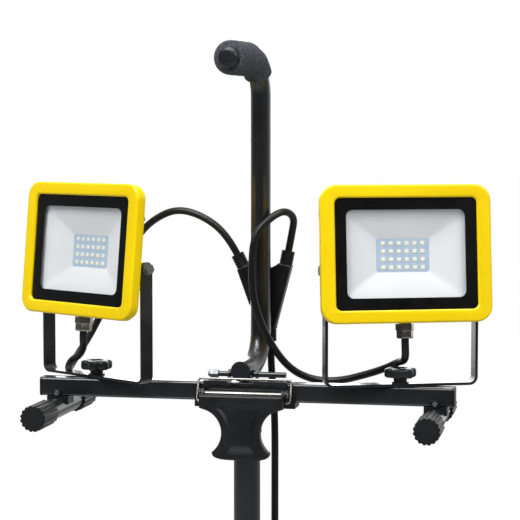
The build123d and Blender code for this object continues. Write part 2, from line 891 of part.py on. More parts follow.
def make_bail():
    """Wire bail: ends in the lever's knuckles, arms past the crossbar, bar over the plate."""
    inner = lever_width / 2 - 4
    with BuildPart() as bail:
        with BuildLine() as path:
            FilletPolyline(
                (-inner, rod_y, bail_hinge_z),
                (-bail_reach, rod_y, bail_hinge_z),
                (-bail_reach, bail_top_y, bail_top_z),
                (bail_reach, bail_top_y, bail_top_z),
                (bail_reach, rod_y, bail_hinge_z),
                (inner, rod_y, bail_hinge_z),
                radius=3,
            )
        with BuildSketch(Plane(origin=path.line @ 0, z_dir=path.line % 0)):
            Circle(wire_radius)
        sweep(path=path.line)
    return bail


# ---------------------------------------------------------------- mast and tripod
collar_bottom = mast_base_top - 38
collar_top = mast_base_top + 12
collar_radius = 21.0
collar_knob_up = mast_base_top - 20
collar_azimuth = -30.0
mast_socket_top = bar_height - bar_half - cradle_base


def make_mast_base():
    """Lower mast tube, closed below by a plug, with a hole for the clamping stud."""
    with BuildPart() as mast:
        with BuildSketch(Plane.XY.offset(mast_base_bottom)):
            Circle(mast_base_radius)
            Circle(mast_base_radius - mast_wall, mode=Mode.SUBTRACT)
        extrude(amount=mast_base_top - mast_base_bottom)
        with BuildSketch(collar_plane(0)):
            Circle(stud_radius + gap)
        extrude(amount=mast_base_radius * 2, mode=Mode.SUBTRACT)
        with BuildSketch(Plane.XY.offset(mast_base_bottom)):
            Circle(mast_base_radius)
        extrude(amount=-4)
    return mast


def collar_plane(reach):
    """Plane square to the clamping stud, this far from the mast's axis."""
    out = Vector(1, 0, 0).rotate(Axis.Z, collar_azimuth)
    return Plane(origin=out * reach + Vector(0, 0, collar_knob_up), z_dir=out)


def make_mast_top():
    with BuildPart() as mast:
        with BuildSketch(Plane.XY.offset(mast_base_top - mast_overlap)):
            Circle(mast_top_radius)
            Circle(mast_top_radius - mast_wall, mode=Mode.SUBTRACT)
        extrude(amount=mast_socket_top - mast_base_top + mast_overlap)
    return mast


def make_mast_bush():
    """Plastic bush on the foot of the upper tube, sliding in the lower one."""
    end = mast_base_top - mast_overlap
    with BuildPart() as bush:
        with BuildSketch(Plane.XY.offset(end - 6)):
            Circle(mast_base_radius - mast_wall - slip)
        extrude(amount=6)
        with BuildSketch(Plane.XY.offset(end)):
            Circle(mast_top_radius - mast_wall - fit)
        extrude(amount=20)
    return bush


def make_collar():
    """Collar on the lower tube that guides the upper tube and holds the clamping knob."""
    with BuildPart() as collar:
        with BuildSketch(Plane.XY.offset(collar_bottom)):
            Circle(collar_radius)
        extrude(amount=collar_top - collar_bottom)
        fillet(collar.edges(), 2)
        with BuildSketch(collar_plane(mast_base_radius + 1)):
            Circle(9)
        extrude(amount=14)
        with BuildSketch(Plane.XY.offset(collar_bottom)):
            Circle(mast_base_radius + slip)
        extrude(amount=mast_base_top - collar_bottom, mode=Mode.SUBTRACT)
        with BuildSketch(Plane.XY.offset(mast_base_top)):
            Circle(mast_top_radius + slip)
        extrude(amount=collar_top - mast_base_top, mode=Mode.SUBTRACT)
        with BuildSketch(collar_plane(mast_base_radius - 2)):
            Circle(stud_radius)
        extrude(amount=30, mode=Mode.SUBTRACT)
    return collar


def make_collar_knob():
    """Star knob and stud that clamp the upper tube."""
    boss_end = mast_base_radius + 15
    with BuildPart() as knob:
        with BuildSketch(collar_plane(boss_end + 1)):
            Circle(8)
        extrude(amount=5)
        with BuildSketch(collar_plane(boss_end + 6)):
            star(18, 6)
        extrude(amount=11)
        fillet(knob.faces().sort_by(Axis(origin=(0, 0, 0), direction=collar_plane(0).z_dir))[-1].edges(), 1.5)
        with BuildSketch(collar_plane(boss_end + 1)):
            Circle(stud_radius - slip)
        extrude(amount=-(boss_end + 1 - mast_top_radius - gap))
    return knob


def leg_plane(azimuth, radial, height):
    """Plane square to one leg's hinge pin, with X pointing outwards and Y up."""
    out = Vector(1, 0, 0).rotate(Axis.Z, azimuth)
    side = Vector(0, 0, 1).cross(out)
    return Plane(origin=out * radial + Vector(0, 0, height), x_dir=out, z_dir=side * -1)


hub_body_radius = hinge_reach - leg_radius - gap
hinge_pin_radius = 3.0
ear_inner = leg_radius + gap
ear_outer = ear_inner + 3
ear_half_height = 10.0


def make_leg_hub():
    """Hub fixed on the lower tube, with a pair of ears for each leg."""
    with BuildPart() as hub:
        with BuildSketch(Plane.XY.offset(hub_height - 16)):
            Circle(hub_body_radius)
        extrude(amount=32)
        for azimuth in leg_azimuths.values():
            for side in (-1, 1):
                with BuildSketch(leg_plane(azimuth, 0, hub_height).offset(side * ear_inner)):
                    with Locations((hinge_reach / 2, 0)):
                        Rectangle(hinge_reach, 2 * ear_half_height)
                    with Locations((hinge_reach, 0)):
                        Circle(ear_half_height)
                extrude(amount=side * (ear_outer - ear_inner))
            with BuildSketch(leg_plane(azimuth, hinge_reach, hub_height).offset(-ear_outer)):
                Circle(hinge_pin_radius)
            extrude(amount=2 * ear_outer, mode=Mode.SUBTRACT)
        with BuildSketch(Plane.XY.offset(hub_height - 16)):
            Circle(mast_base_radius + slip)
        extrude(amount=32, mode=Mode.SUBTRACT)
    return hub


def make_hub_pins():
    """Hinge pins of the three legs."""
    with BuildPart() as pins:
        for azimuth in leg_azimuths.values():
            plane = leg_plane(azimuth, hinge_reach, hub_height)
            with BuildSketch(plane.offset(-ear_outer - 2)):
                Circle(hinge_pin_radius)
            extrude(amount=2 * ear_outer + 4)
            for side in (-1, 1):
                with BuildSketch(plane.offset(side * ear_outer)):
                    Circle(hinge_pin_radius + 2)
                extrude(amount=side * 2)
    return pins


def leg_direction():
    """Along a standing leg, in its own plane."""
    return sin(radians(leg_angle)), -cos(radians(leg_angle))


def make_leg():
    """Front leg's tube with a hinge barrel, and its rubber foot cut flat on the floor."""
    along, down = leg_direction()
    leg_length = (hub_height - 6) / -down
    plane = leg_plane(leg_azimuths["front"], hinge_reach, hub_height)
    out = plane.x_dir
    leg_axis = out * along + Vector(0, 0, down)
    section = Plane(origin=plane.origin, x_dir=plane.z_dir, z_dir=leg_axis)
    with BuildPart() as leg:
        with BuildSketch(section):
            Circle(leg_radius)
        extrude(amount=leg_length - foot_sleeve / 2)
        with BuildSketch(plane.offset(-leg_radius)):
            Circle(leg_radius - 0.4)
        extrude(amount=2 * leg_radius)
        with BuildSketch(section.offset(hinge_clear)):
            Circle(leg_radius - 1.2)
        extrude(amount=leg_length, mode=Mode.SUBTRACT)
        with BuildSketch(plane.offset(-2 * leg_radius)):
            Circle(hinge_pin_radius + slip)
        extrude(amount=4 * leg_radius, mode=Mode.SUBTRACT)
    with BuildPart() as foot:
        with BuildSketch(section.offset(leg_length - foot_sleeve)):
            Circle(foot_pad_radius)
        extrude(amount=foot_sleeve * 2)
        with BuildSketch(section.offset(leg_length - foot_sleeve)):
            Circle(leg_radius + slip)
        extrude(amount=foot_sleeve / 2, mode=Mode.SUBTRACT)
        split(bisect_by=Plane.XY, keep=Keep.TOP)
    return leg, foot


foot_sleeve = 44.0
hinge_clear = 16.0

# ---------------------------------------------------------------- leads, about the crossbar's centre
splitter_back = 72.0  # middle of the splitter behind the crossbar's centre
splitter_depth = 16.0
splitter_relief = 15.0
splitter_left = (-22.8, 140.2)
splitter_left_base = (-15.9, 126.8)
splitter_right = (34.3, 144.7)
splitter_right_base = (31.4, 130.0)
splitter_foot = (14.7, 45.4)
splitter_foot_base = (14.7, 60.0)
floor_lead = lead_radius + 0.2  # lead axis above the floor
coil_back = 182.0
coil_side = -22.0
coil_turn_width = 16.0
coil_stub = 36.0
plug_width = 36.0
plug_height = 24.4
plug_length = 42.0
plug_start = 136.0  # cable end of the plug, behind the mast


def gland_exit(side, drop):
    """Point on one gland's axis, this far below the tilt axis, about the crossbar's centre."""
    point = Vector(0, -gland_ahead, -drop)
    point = point.rotate(Axis.X, -lamp_tilts[side]).rotate(Axis.Z, lamp_yaws[side])
    return point + Vector(lamp_sides[side] - bar_shift, 0, tilt_height)


def seat_point(mouth, base):
    """Bottom of a lead's seat in the splitter."""
    axis = Vector(base[0] - mouth[0], 0, base[1] - mouth[1]).normalized()
    return Vector(mouth[0], splitter_back, mouth[1]) + axis * lead_seat


def before_seat(mouth, base, reach):
    """Point on a seat's axis, this far outside the splitter."""
    axis = Vector(base[0] - mouth[0], 0, base[1] - mouth[1]).normalized()
    return Vector(mouth[0], splitter_back, mouth[1]) - axis * reach


def lead_route(side):
    """Corners of the lead's route from a lamp's gland to the splitter."""
    start = [gland_exit(side, gland_drop - lead_seat), gland_exit(side, gland_drop + 7.5)]
    if side == "right":
        middle = [
            (173.0, -14.0, 43.0),
            (170.0, -2.0, 36.5),
            (162.0, 13.0, 33.5),
            (148.0, 24.0, 25.0),
            (128.0, 29.5, 17.5),
            (96.0, 36.0, 8.0),
            (66.0, 40.0, 8.0),
            (41.0, 34.0, 21.0),
            (20.0, 27.0, 52.0),
            (4.5, 26.0, 91.0),
            (2.0, 28.0, 131.0),
            (5.0, 29.0, 164.0),
            (20.5, 37.0, 182.0),
            (34.0, 49.0, 190.0),
            (42.0, 66.0, 182.0),
        ]
        mouth, base = splitter_right, splitter_right_base
    else:
        middle = [
            (-174.5, -7.0, 44.0),
            (-184.0, 9.0, 32.5),
            (-203.0, 33.0, 22.5),
            (-214.0, 60.0, 7.0),
            (-214.0, 83.0, 17.0),
            (-199.0, 103.0, 46.0),
            (-181.0, 112.0, 86.0),
            (-165.0, 112.0, 124.0),
            (-148.0, 104.0, 153.0),
            (-124.0, 90.0, 176.0),
            (-92.0, 80.0, 190.0),
            (-58.0, 75.0, 180.0),
        ]
        mouth, base = splitter_left, splitter_left_base
    end = [before_seat(mouth, base, 21.0), seat_point(mouth, base)]
    return start + [Vector(*corner) for corner in middle] + end


def main_route():
    """Corners of the main lead's route, down from the splitter and out over the floor."""
    floor = floor_lead - bar_height
    corners = [
        (14.7, 72.0, 24.0),
        (17.5, 70.0, -4.0),
        (20.8, 65.0, -44.0),
        (20.8, 64.0, -120.0),
        (21.0, 64.0, floor + 52.0),
        (22.0, 88.0, floor),
        (coil_side + coil_radius - bar_shift, 122.0, floor),
        (coil_side + coil_radius - bar_shift, coil_back - coil_stub, floor),
    ]
    return [seat_point(splitter_foot, splitter_foot_base)] + [Vector(*corner) for corner in corners]


def corner_radii(route):
    """Bend radius at each corner, from the shorter run beside it and the turn there."""
    radii = []
    for before, corner, after in zip(route, route[1:], route[2:]):
        run_in = corner - before
        run_out = after - corner
        turn = radians(run_in.get_angle(run_out))
        radii.append(0.45 * min(run_in.length, run_out.length) / tan(turn / 2))
    return radii


def make_lead(route, name):
    """Round lead: straight runs joined by tangent arcs."""
    radii = corner_radii(route)
    with BuildPart() as lead:
        with BuildLine() as path:
            FilletPolyline(*route, radius=radii)
        line = path.wires()[0]
        with BuildSketch(Plane(origin=line @ 0, z_dir=line % 0)):
            Circle(lead_radius)
        sweep(path=line)
    volume = 3.14159 * lead_radius**2 * line.length
    print(name, "length", round(line.length), "smallest bend", round(min(radii), 1))
    print(name, "volume over section times length", round(lead.part.volume / volume, 4))
    return lead


def make_splitter():
    """Moulded Y piece joining both lamp leads to the main lead."""
    with BuildPart() as splitter:
        with BuildSketch(Plane.XZ.offset(-splitter_back - splitter_depth / 2)):
            with BuildLine():
                Polyline(
                    (24.4, 131.4),
                    (38.4, 128.6),
                    (20.9, 62.0),
                    (20.7, 59.0),
                    (8.7, 59.0),
                    (-8.6, 86.5),
                    (-22.0, 123.6),
                    (-9.7, 130.0),
                )
                ThreePointArc((-9.7, 130.0), (8.5, 125.0), (24.4, 131.4))
            make_face()
        extrude(amount=splitter_depth)
        fillet(splitter.faces().filter_by(Axis.Y).edges(), 2)
        seats = (
            (splitter_left, splitter_left_base, 6.9),
            (splitter_right, splitter_right_base, 7.0),
            (splitter_foot, splitter_foot_base, 6.0),
        )
        for mouth, base, radius in seats:
            start = Vector(mouth[0], splitter_back, mouth[1])
            axis = Vector(base[0] - mouth[0], 0, base[1] - mouth[1])
            with BuildSketch(Plane(origin=start, z_dir=axis)):
                Circle(radius)
            extrude(amount=splitter_relief + 4)
        for mouth, base, radius in seats:
            start = Vector(mouth[0], splitter_back, mouth[1])
            axis = Vector(base[0] - mouth[0], 0, base[1] - mouth[1])
            with BuildSketch(Plane(origin=start, z_dir=axis)):
                Circle(lead_radius + 2 * fit)
            extrude(amount=lead_seat, mode=Mode.SUBTRACT)
    return splitter


def make_coil():
    """Outer shape of the spare lead, coiled flat on the floor in two layers."""
    half = coil_turn_width / 2
    layer = floor_lead + 2 * lead_radius
    with BuildPart() as coil:
        with BuildSketch(Plane.XZ.offset(-coil_back)):
            with Locations((coil_side + coil_radius, half + 0.2)):
                RectangleRounded(coil_turn_width, coil_turn_width, 3.9)
        revolve(axis=Axis((coil_side, coil_back, 0), (0, 0, 1)))
        with BuildSketch(Plane.XZ.offset(coil_stub - coil_back)):
            with Locations((coil_side + coil_radius, floor_lead)):
                Circle(lead_radius)
        extrude(amount=-coil_stub)
        with BuildSketch(Plane.XZ.offset(-plug_start)):
            with Locations((coil_side - coil_radius, layer)):
                Circle(lead_radius)
        extrude(amount=plug_start - coil_back)
    return coil


def make_plug():
    """Two pin mains plug lying on the floor beside the coil."""
    layer = floor_lead + 2 * lead_radius
    with BuildPart() as plug:
        with BuildSketch(Plane.XZ.offset(-plug_start)):
            with Locations((coil_side - coil_radius, layer)):
                RectangleRounded(14, 14, 5)
        with BuildSketch(Plane.XZ.offset(14 - plug_start)):
            with Locations((coil_side - coil_radius, layer)):
                RectangleRounded(plug_width, plug_height - 0.2, 10)
        loft()
        with BuildSketch(Plane.XZ.offset(14 - plug_start)):
            with Locations((coil_side - coil_radius, layer)):
                RectangleRounded(plug_width, plug_height - 0.2, 10)
        extrude(amount=plug_length - 14)
        with BuildSketch(Plane.XZ.offset(plug_length - plug_start)):
            with Locations((coil_side - coil_radius, layer)):
                with GridLocations(19, 1, 2, 1):
                    Circle(2.4)
        extrude(amount=19)
    return plug


# ---------------------------------------------------------------- build and save
os.makedirs("parts", exist_ok=True)

for lamp in lamp_sides:
    make_lamp(lamp)

save(make_crossbar(), "crossbar", bar_place)
save(make_crossbar_caps(), "crossbar_caps", bar_place)
save(make_foot_tubes(), "foot_tubes", bar_place)
save(make_foot_caps(), "foot_caps", bar_place)
save(make_foot_saddles(), "foot_saddles", bar_place)
save(make_fasteners(), "crossbar_fasteners", bar_place)

handle_place = Location((bar_shift + handle_shift, 0, bar_height), (0, 0, -handle_yaw))
save(make_handle_tube(), "handle_tube", handle_place)
save(make_grip(), "handle_grip", handle_place)
save(make_handle_plugs(), "handle_plugs", handle_place)

save(make_cradle(), "latch_cradle", latch_place)
save(make_clamp_plate(), "clamp_plate", latch_place)
save(make_rod(), "latch_rod", latch_place)
save(make_lever(), "latch_lever", latch_place)
save(make_bail(), "latch_bail", latch_place)

save(make_splitter(), "y_splitter", bar_place)
save(make_lead(lead_route("left"), "left lead"), "lead_left", bar_place)
save(make_lead(lead_route("right"), "right lead"), "lead_right", bar_place)
save(make_lead(main_route(), "main lead"), "main_lead", bar_place)
save(make_coil(), "lead_coil")
save(make_plug(), "mains_plug")

save(make_mast_base(), "mast_base")
save(make_mast_top(), "mast_top")
save(make_mast_bush(), "mast_bush")
save(make_collar(), "mast_collar")
save(make_collar_knob(), "collar_knob")
save(make_leg_hub(), "leg_hub")
save(make_hub_pins(), "hub_pins")
for name, azimuth in leg_azimuths.items():
    tube, foot = make_leg()
    turned = Location((0, 0, 0), (0, 0, azimuth - leg_azimuths["front"]))
    save(tube, f"leg_tube_{name}", turned)
    save(foot, f"leg_foot_{name}", turned)
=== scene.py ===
# %% [markdown]
# # A twin lamp work light, finished in Blender
# The CAD model gives every piece its size and place. This notebook gives each of them its
# surface: rounded edges that catch the light, coatings, rubber, foam, glass and metal. Most
# pieces keep the CAD shape exactly. The leads, the foam grip, the LED chips, the windows, the
# knobs and the latch lever are built here, because they follow a path, repeat, or have softer
# forms than plain CAD shapes.

import json
from math import cos, pi, radians, sin

import bmesh
import bpy
from mathutils import Matrix, Vector


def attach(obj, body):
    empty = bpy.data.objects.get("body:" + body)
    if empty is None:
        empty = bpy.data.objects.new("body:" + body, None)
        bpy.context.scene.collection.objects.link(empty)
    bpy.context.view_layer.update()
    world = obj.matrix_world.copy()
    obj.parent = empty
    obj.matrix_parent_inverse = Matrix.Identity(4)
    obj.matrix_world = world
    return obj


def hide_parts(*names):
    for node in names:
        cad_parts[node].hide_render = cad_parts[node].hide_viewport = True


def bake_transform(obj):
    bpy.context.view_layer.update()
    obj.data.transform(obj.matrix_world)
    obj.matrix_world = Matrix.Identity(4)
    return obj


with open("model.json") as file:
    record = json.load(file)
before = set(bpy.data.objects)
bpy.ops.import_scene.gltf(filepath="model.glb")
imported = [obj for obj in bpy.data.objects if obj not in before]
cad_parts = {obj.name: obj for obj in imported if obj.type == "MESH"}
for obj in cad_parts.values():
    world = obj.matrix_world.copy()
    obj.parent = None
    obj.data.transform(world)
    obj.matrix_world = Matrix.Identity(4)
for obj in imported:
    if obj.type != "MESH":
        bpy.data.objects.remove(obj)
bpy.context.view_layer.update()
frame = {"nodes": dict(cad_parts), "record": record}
body_of_node = {
    node: body
    for body, nodes in frame["record"]["behaviour"]["bodies"].items()
    for node in nodes
}
slot_of_node = {
    entry["node"]: entry["material_slot"] for entry in frame["record"]["subparts"]
}

# %% [markdown]
# ## Sizes and places
# The same sizes as in the CAD source, in millimetres, and one matrix for each group of pieces
# that is built about its own axes. A piece is modelled where it is easiest to think about, such
# as about a lamp's tilt axis, and its matrix then sets it in its place.

# %% Sizes and places
mm = 0.001
bar_height = 820.0
bar_shift = -3.0
tilt_height = 131.0
lamp_yaws = {"left": -32.8, "right": 21.5}
lamp_tilts = {"left": 5.5, "right": 5.7}
lamp_sides = {"left": -165.4, "right": 163.0}
head_rise = 16.0
board_ahead, board_up = 9.0, 14.8
chip_pitch_x, chip_pitch_z = 8.4, 8.3
gland_ahead = 11.5
gland_drop = 71.0
lead_seat = 4.0
lead_radius = 4.0


def moved(x, y, z):
    return Matrix.Translation(Vector((x, y, z)) * mm)


def turned(degrees, axis):
    return Matrix.Rotation(radians(degrees), 4, axis)


bar_place = moved(bar_shift, 0, bar_height)
handle_place = moved(bar_shift - 1.9, 0, bar_height) @ turned(-10, "Z")
bracket_places = {
    side: moved(lamp_sides[side], 0, bar_height + 10) @ turned(lamp_yaws[side], "Z")
    for side in lamp_sides
}
head_places = {
    side: bracket_places[side] @ moved(0, 0, tilt_height - 10) @ turned(-lamp_tilts[side], "X")
    for side in lamp_sides
}
face_up = Matrix(((1, 0, 0, 0), (0, 0, -1, 0), (0, 1, 0, 0), (0, 0, 0, 1)))
print("tilt axis at", [round(v, 3) for v in head_places["right"].translation])

# %% [markdown]
# ## The camera
# A long lens from a few paces away, a little to the right of the light and a little above it.
# The light is drawn almost in parallel, which is why so long a lens is used.

# %% Camera
view_turn = radians(11.4)
view_drop = radians(4.0)
lens_data = bpy.data.cameras.new("camera")
lens_data.lens = 122.4
lens_data.sensor_width = 36
lens_data.clip_start = 0.1
lens_data.clip_end = 40


def set_down(name, data):
    """A new object in the scene."""
    thing = bpy.data.objects.new(name, data)
    bpy.context.scene.collection.objects.link(thing)
    return thing


camera = set_down("camera", lens_data)
camera.location = (0.3810, -1.8197, 1.0890)
looking = Vector(
    (-sin(view_turn) * cos(view_drop), cos(view_turn) * cos(view_drop), -sin(view_drop))
)
camera.rotation_euler = looking.to_track_quat("-Z", "Y").to_euler()
bpy.context.scene.camera = camera
bpy.context.scene.view_settings.view_transform = "Standard"
print("camera", [round(v, 3) for v in camera.location])

# %% [markdown]
# ## Writing shaders as arithmetic
# A finish is a few noises, mixed and scaled. Wiring Math nodes by hand hides that, so one small
# class wraps an output socket and lets Python's own operators add the nodes. A second class has
# one method that adds any node from its type, settings and values, and a third makes a material.

# %% Shader arithmetic


class Wire:
    """An output socket that can be added, multiplied and so on."""

    def __init__(self, tree, socket):
        self.tree = tree
        self.socket = socket

    def math(self, operation, first, second=0.0):
        node = self.tree.nodes.new("ShaderNodeMath")
        node.operation = operation
        plug(self.tree, node.inputs[0], first)
        plug(self.tree, node.inputs[1], second)
        return Wire(self.tree, node.outputs[0])

    def __add__(self, other):
        return self.math("ADD", self, other)

    def __sub__(self, other):
        return self.math("SUBTRACT", self, other)

    def __rsub__(self, other):
        return self.math("SUBTRACT", other, self)

    def __mul__(self, other):
        return self.math("MULTIPLY", self, other)

    def __pow__(self, other):
        return self.math("POWER", self, other)

    def __gt__(self, other):
        return self.math("GREATER_THAN", self, other)

    __radd__ = __add__
    __rmul__ = __mul__


def plug(tree, socket, value):
    """Link a wire to a socket, or set the socket's own value."""
    if isinstance(value, Wire):
        tree.links.new(value.socket, socket)
    else:
        socket.default_value = value


def rgb(red, green, blue):
    return (red, green, blue, 1.0)


class Nodes:
    """A node tree that adds any node from its type, settings and input values."""

    def __init__(self, tree):
        self.tree = tree

    def node(self, kind, settings=None, values=None, output=0):
        node = self.tree.nodes.new(kind)
        for key, value in (settings or {}).items():
            setattr(node, key, value)
        for key, value in (values or {}).items():
            plug(self.tree, node.inputs[key], value)
        return None if output is None else Wire(self.tree, node.outputs[output])

    def ramp(self, value, low, high, start=0.0, end=1.0):
        """`start` below low, `end` above high, straight between."""
        values = {"Value": value, "From Min": low, "From Max": high}
        values |= {"To Min": start, "To Max": end}
        return self.node("ShaderNodeMapRange", {"clamp": True}, values)

    def along(self, vector, axis):
        return self.node("ShaderNodeSeparateXYZ", None, {0: vector}, axis)

    def glow(self, kind, colour, strength):
        return self.node(kind, None, {"Color": colour, "Strength": strength})

    def where_seen(self, rays, plain, seen):
        """Shader that is `plain` for lighting and `seen` for the named kinds of ray."""
        share = self.node("ShaderNodeLightPath", output=rays[0])
        for ray in rays[1:]:
            share = share.math("MAXIMUM", share, self.node("ShaderNodeLightPath", output=ray))
        return self.node("ShaderNodeMixShader", None, {0: share, 1: plain, 2: seen})


class Finish(Nodes):
    """A material on one Principled shader."""

    def __init__(self, name, **fixed):
        self.material = bpy.data.materials.new(name)
        self.material.use_nodes = True
        super().__init__(self.material.node_tree)
        self.shader = self.tree.nodes["Principled BSDF"]
        for key, value in fixed.items():
            self.shader.inputs[key.replace("_", " ")].default_value = value

    def place(self, stretch=(1, 1, 1)):
        """Object coordinates, stretched."""
        base = self.node("ShaderNodeTexCoord", output="Object")
        return self.node("ShaderNodeMapping", None, {"Vector": base, "Scale": stretch})

    def noise(self, scale, detail=3.0, roughness=0.5, where=None):
        where = where or self.place()
        values = {"Vector": where, "Scale": scale, "Detail": detail, "Roughness": roughness}
        return self.node("ShaderNodeTexNoise", None, values)

    def cells(self, scale):
        values = {"Vector": self.place(), "Scale": scale}
        return self.node("ShaderNodeTexVoronoi", {"feature": "F1"}, values)

    def mix(self, factor, first, second):
        values = {0: factor, 6: first, 7: second}
        return self.node("ShaderNodeMix", {"data_type": "RGBA"}, values, 2)

    def tint(self, value, low, high, first, second):
        """Base colour that drifts from the first tone to the second."""
        self.feed("Base Color", self.mix(self.ramp(value, low, high), first, second))

    def roughen(self, value, low, high, spread, least):
        self.feed("Roughness", self.ramp(value, low, high) * spread + least)

    def bump(self, height, strength, distance):
        values = {"Height": height, "Strength": strength, "Distance": distance}
        self.feed("Normal", self.node("ShaderNodeBump", None, values))

    def feed(self, name, value):
        plug(self.tree, self.shader.inputs[name], value)


print("shader helpers ready")

# %% [markdown]
# ## Floor, world and lamps
# A studio sweep is plain and pale. The floor and the world are white to the camera, through Light
# Path, while the light that they give stays at a plain level. Gloss sees a room that is bright
# behind and above the light and dark on the camera's side, so that black paint stays black but
# its upper faces shine. Near the feet the floor keeps a trace of their shadow.

# %% Stage
world = bpy.data.worlds.new("studio")
bpy.context.scene.world = world
world.use_nodes = True
world.node_tree.nodes.clear()
sky = Nodes(world.node_tree)
white = rgb(1, 1, 1)
direction = sky.node("ShaderNodeTexCoord", output="Generated")
behind = sky.ramp(sky.along(direction, "Y"), -0.2, 0.9, 0.06, 1.0)
above = sky.ramp(sky.along(direction, "Z"), 0.25, 0.9, 0.0, 0.8)
room_light = sky.glow("ShaderNodeBackground", rgb(0.96, 0.98, 1.0), 0.42)
mirrored = sky.glow("ShaderNodeBackground", white, behind.math("MAXIMUM", behind, above))
backdrop = sky.glow("ShaderNodeBackground", white, 1.0)
for_gloss = sky.where_seen(["Is Glossy Ray"], room_light, mirrored)
for_eye = sky.where_seen(["Is Camera Ray", "Is Transmission Ray"], for_gloss, backdrop)
sky.node("ShaderNodeOutputWorld", None, {"Surface": for_eye}, None)

floor_half, floor_drop = 6, 0.0005
floor_mesh = bpy.data.meshes.new("studio_floor")
corner_signs = ((-1, -1), (1, -1), (1, 1), (-1, 1))
floor_corners = [(x * floor_half, y * floor_half, -floor_drop) for x, y in corner_signs]
floor_mesh.from_pydata(floor_corners, [], [(0, 1, 2, 3)])
floor = set_down("studio_floor", floor_mesh)
paper = Finish("studio_paper", Roughness=0.9)
paper.feed("Base Color", rgb(0.42, 0.42, 0.42))
lit_paper = Wire(paper.tree, paper.shader.outputs[0])
white_paper = paper.glow("ShaderNodeEmission", white, 1.0)
ground = paper.node("ShaderNodeTexCoord", output="Object")
from_mast = paper.node("ShaderNodeVectorMath", {"operation": "LENGTH"}, {0: ground}, "Value")
whiteness = paper.ramp(from_mast, 0.5, 1.4, 0.85, 1.0)
seen_paper = paper.node("ShaderNodeMixShader", None, {0: whiteness, 1: lit_paper, 2: white_paper})
paper_out = paper.tree.nodes["Material Output"].inputs["Surface"]
plug(paper.tree, paper_out, paper.where_seen(["Is Camera Ray"], lit_paper, seen_paper))
floor_mesh.materials.append(paper.material)

softboxes = {
    "key": ((-1.2, -1.9, 3.1), 1.4, 52),
    "side": ((2.3, -1.2, 2.4), 1.3, 22),
    "top": ((0.1, -0.6, 2.9), 1.8, 40),
    "back": ((-0.6, 2.3, 1.4), 1.6, 16),
}
for box_name, (place, width, watts) in softboxes.items():
    lamp_data = bpy.data.lights.new(box_name, "AREA")
    lamp_data.size = width
    lamp_data.energy = watts
    lamp = set_down(box_name, lamp_data)
    lamp.location = place
    aim = Vector((0, 0, 0.9)) - Vector(place)
    lamp.rotation_euler = aim.to_track_quat("-Z", "Y").to_euler()
print(len(softboxes), "area lamps")

# %% [markdown]
# ## Coated and painted metal
# The lamp frames have a thick yellow powder coat, which flows into a fine orange peel before it
# sets and keeps a gloss. The tubes have a thinner black coat with a satin speckle. A powder coat
# is uneven in height, not in colour, so most of its character is in the bump and the roughness.

# %% Powder coats


def yellow_coat():
    coat = Finish("yellow_powder_coat", Coat_Roughness=0.05, Specular_IOR_Level=0.2)
    peel = coat.noise(520.0, 2.0, 0.45)
    drift = coat.noise(14.0, 3.0, 0.5)
    coat.tint(drift, 0.35, 0.65, rgb(0.88, 0.62, 0.001), rgb(0.93, 0.67, 0.002))
    coat.roughen(drift, 0.2, 0.8, 0.10, 0.24)
    coat.feed("Coat Weight", coat.ramp(peel, 0.2, 0.9) * 0.15 + 0.20)
    coat.bump(peel, 0.10, 0.0004)
    return coat.material


def black_coat(name, gloss):
    coat = Finish(name, Specular_IOR_Level=0.5, Coat_Roughness=0.10)
    speckle = coat.noise(1500.0, 2.0, 0.6)
    dust = coat.noise(30.0, 5.0, 0.62)
    coat.tint(dust, 0.45, 0.8, rgb(0.006, 0.007, 0.009), rgb(0.012, 0.0135, 0.016))
    coat.roughen(dust, 0.25, 0.75, 0.12, gloss)
    coat.feed("Coat Weight", coat.ramp(speckle, 0.2, 0.8) * 0.3 + 0.6)
    coat.bump(speckle, 0.06, 0.0003)
    return coat.material


def tray_white():
    coat = Finish("white_tray_enamel")
    drift = coat.noise(22.0, 4.0, 0.55)
    coat.tint(drift, 0.3, 0.7, rgb(0.78, 0.80, 0.82), rgb(0.84, 0.86, 0.87))
    coat.roughen(drift, 0.3, 0.7, 0.12, 0.28)
    coat.bump(coat.noise(700.0, 2.0), 0.06, 0.0003)
    return coat.material


finishes = {
    "yellow_paint": yellow_coat(),
    "black_paint": black_coat("black_bracket_coat", 0.26),
    "black_tube": black_coat("black_tube_coat", 0.28),
    "white_tray": tray_white(),
}
print(sorted(finishes))

# %% [markdown]
# ## Bare metals
# Nickel, zinc and chrome differ mainly in how sharp their reflections are. Each is fully
# metallic, with faint turning or polishing marks that stretch the roughness one way.

# %% Metals


def bare_metal(name, tone, low, spread, marks):
    metal = Finish(name, Metallic=1.0)
    streak = metal.noise(60.0, 4.0, 0.6, metal.place(marks))
    cloud = metal.noise(90.0, 4.0, 0.6)
    dim = tuple(value * 0.82 for value in tone[:3]) + (1.0,)
    metal.tint(cloud, 0.3, 0.75, tone, dim)
    metal.roughen(streak, 0.3, 0.8, spread, low)
    metal.bump(streak, 0.05, 0.0002)
    return metal.material


finishes["nickel_brass"] = bare_metal("nickel_plate", rgb(0.50, 0.46, 0.40), 0.14, 0.14, (1, 1, 18))
finishes["zinc_steel"] = bare_metal("zinc_plate", rgb(0.30, 0.31, 0.33), 0.44, 0.16, (10, 1, 1))
finishes["chrome_steel"] = bare_metal("bright_wire", rgb(0.33, 0.32, 0.30), 0.20, 0.12, (1, 12, 12))
print("metals", len(finishes))
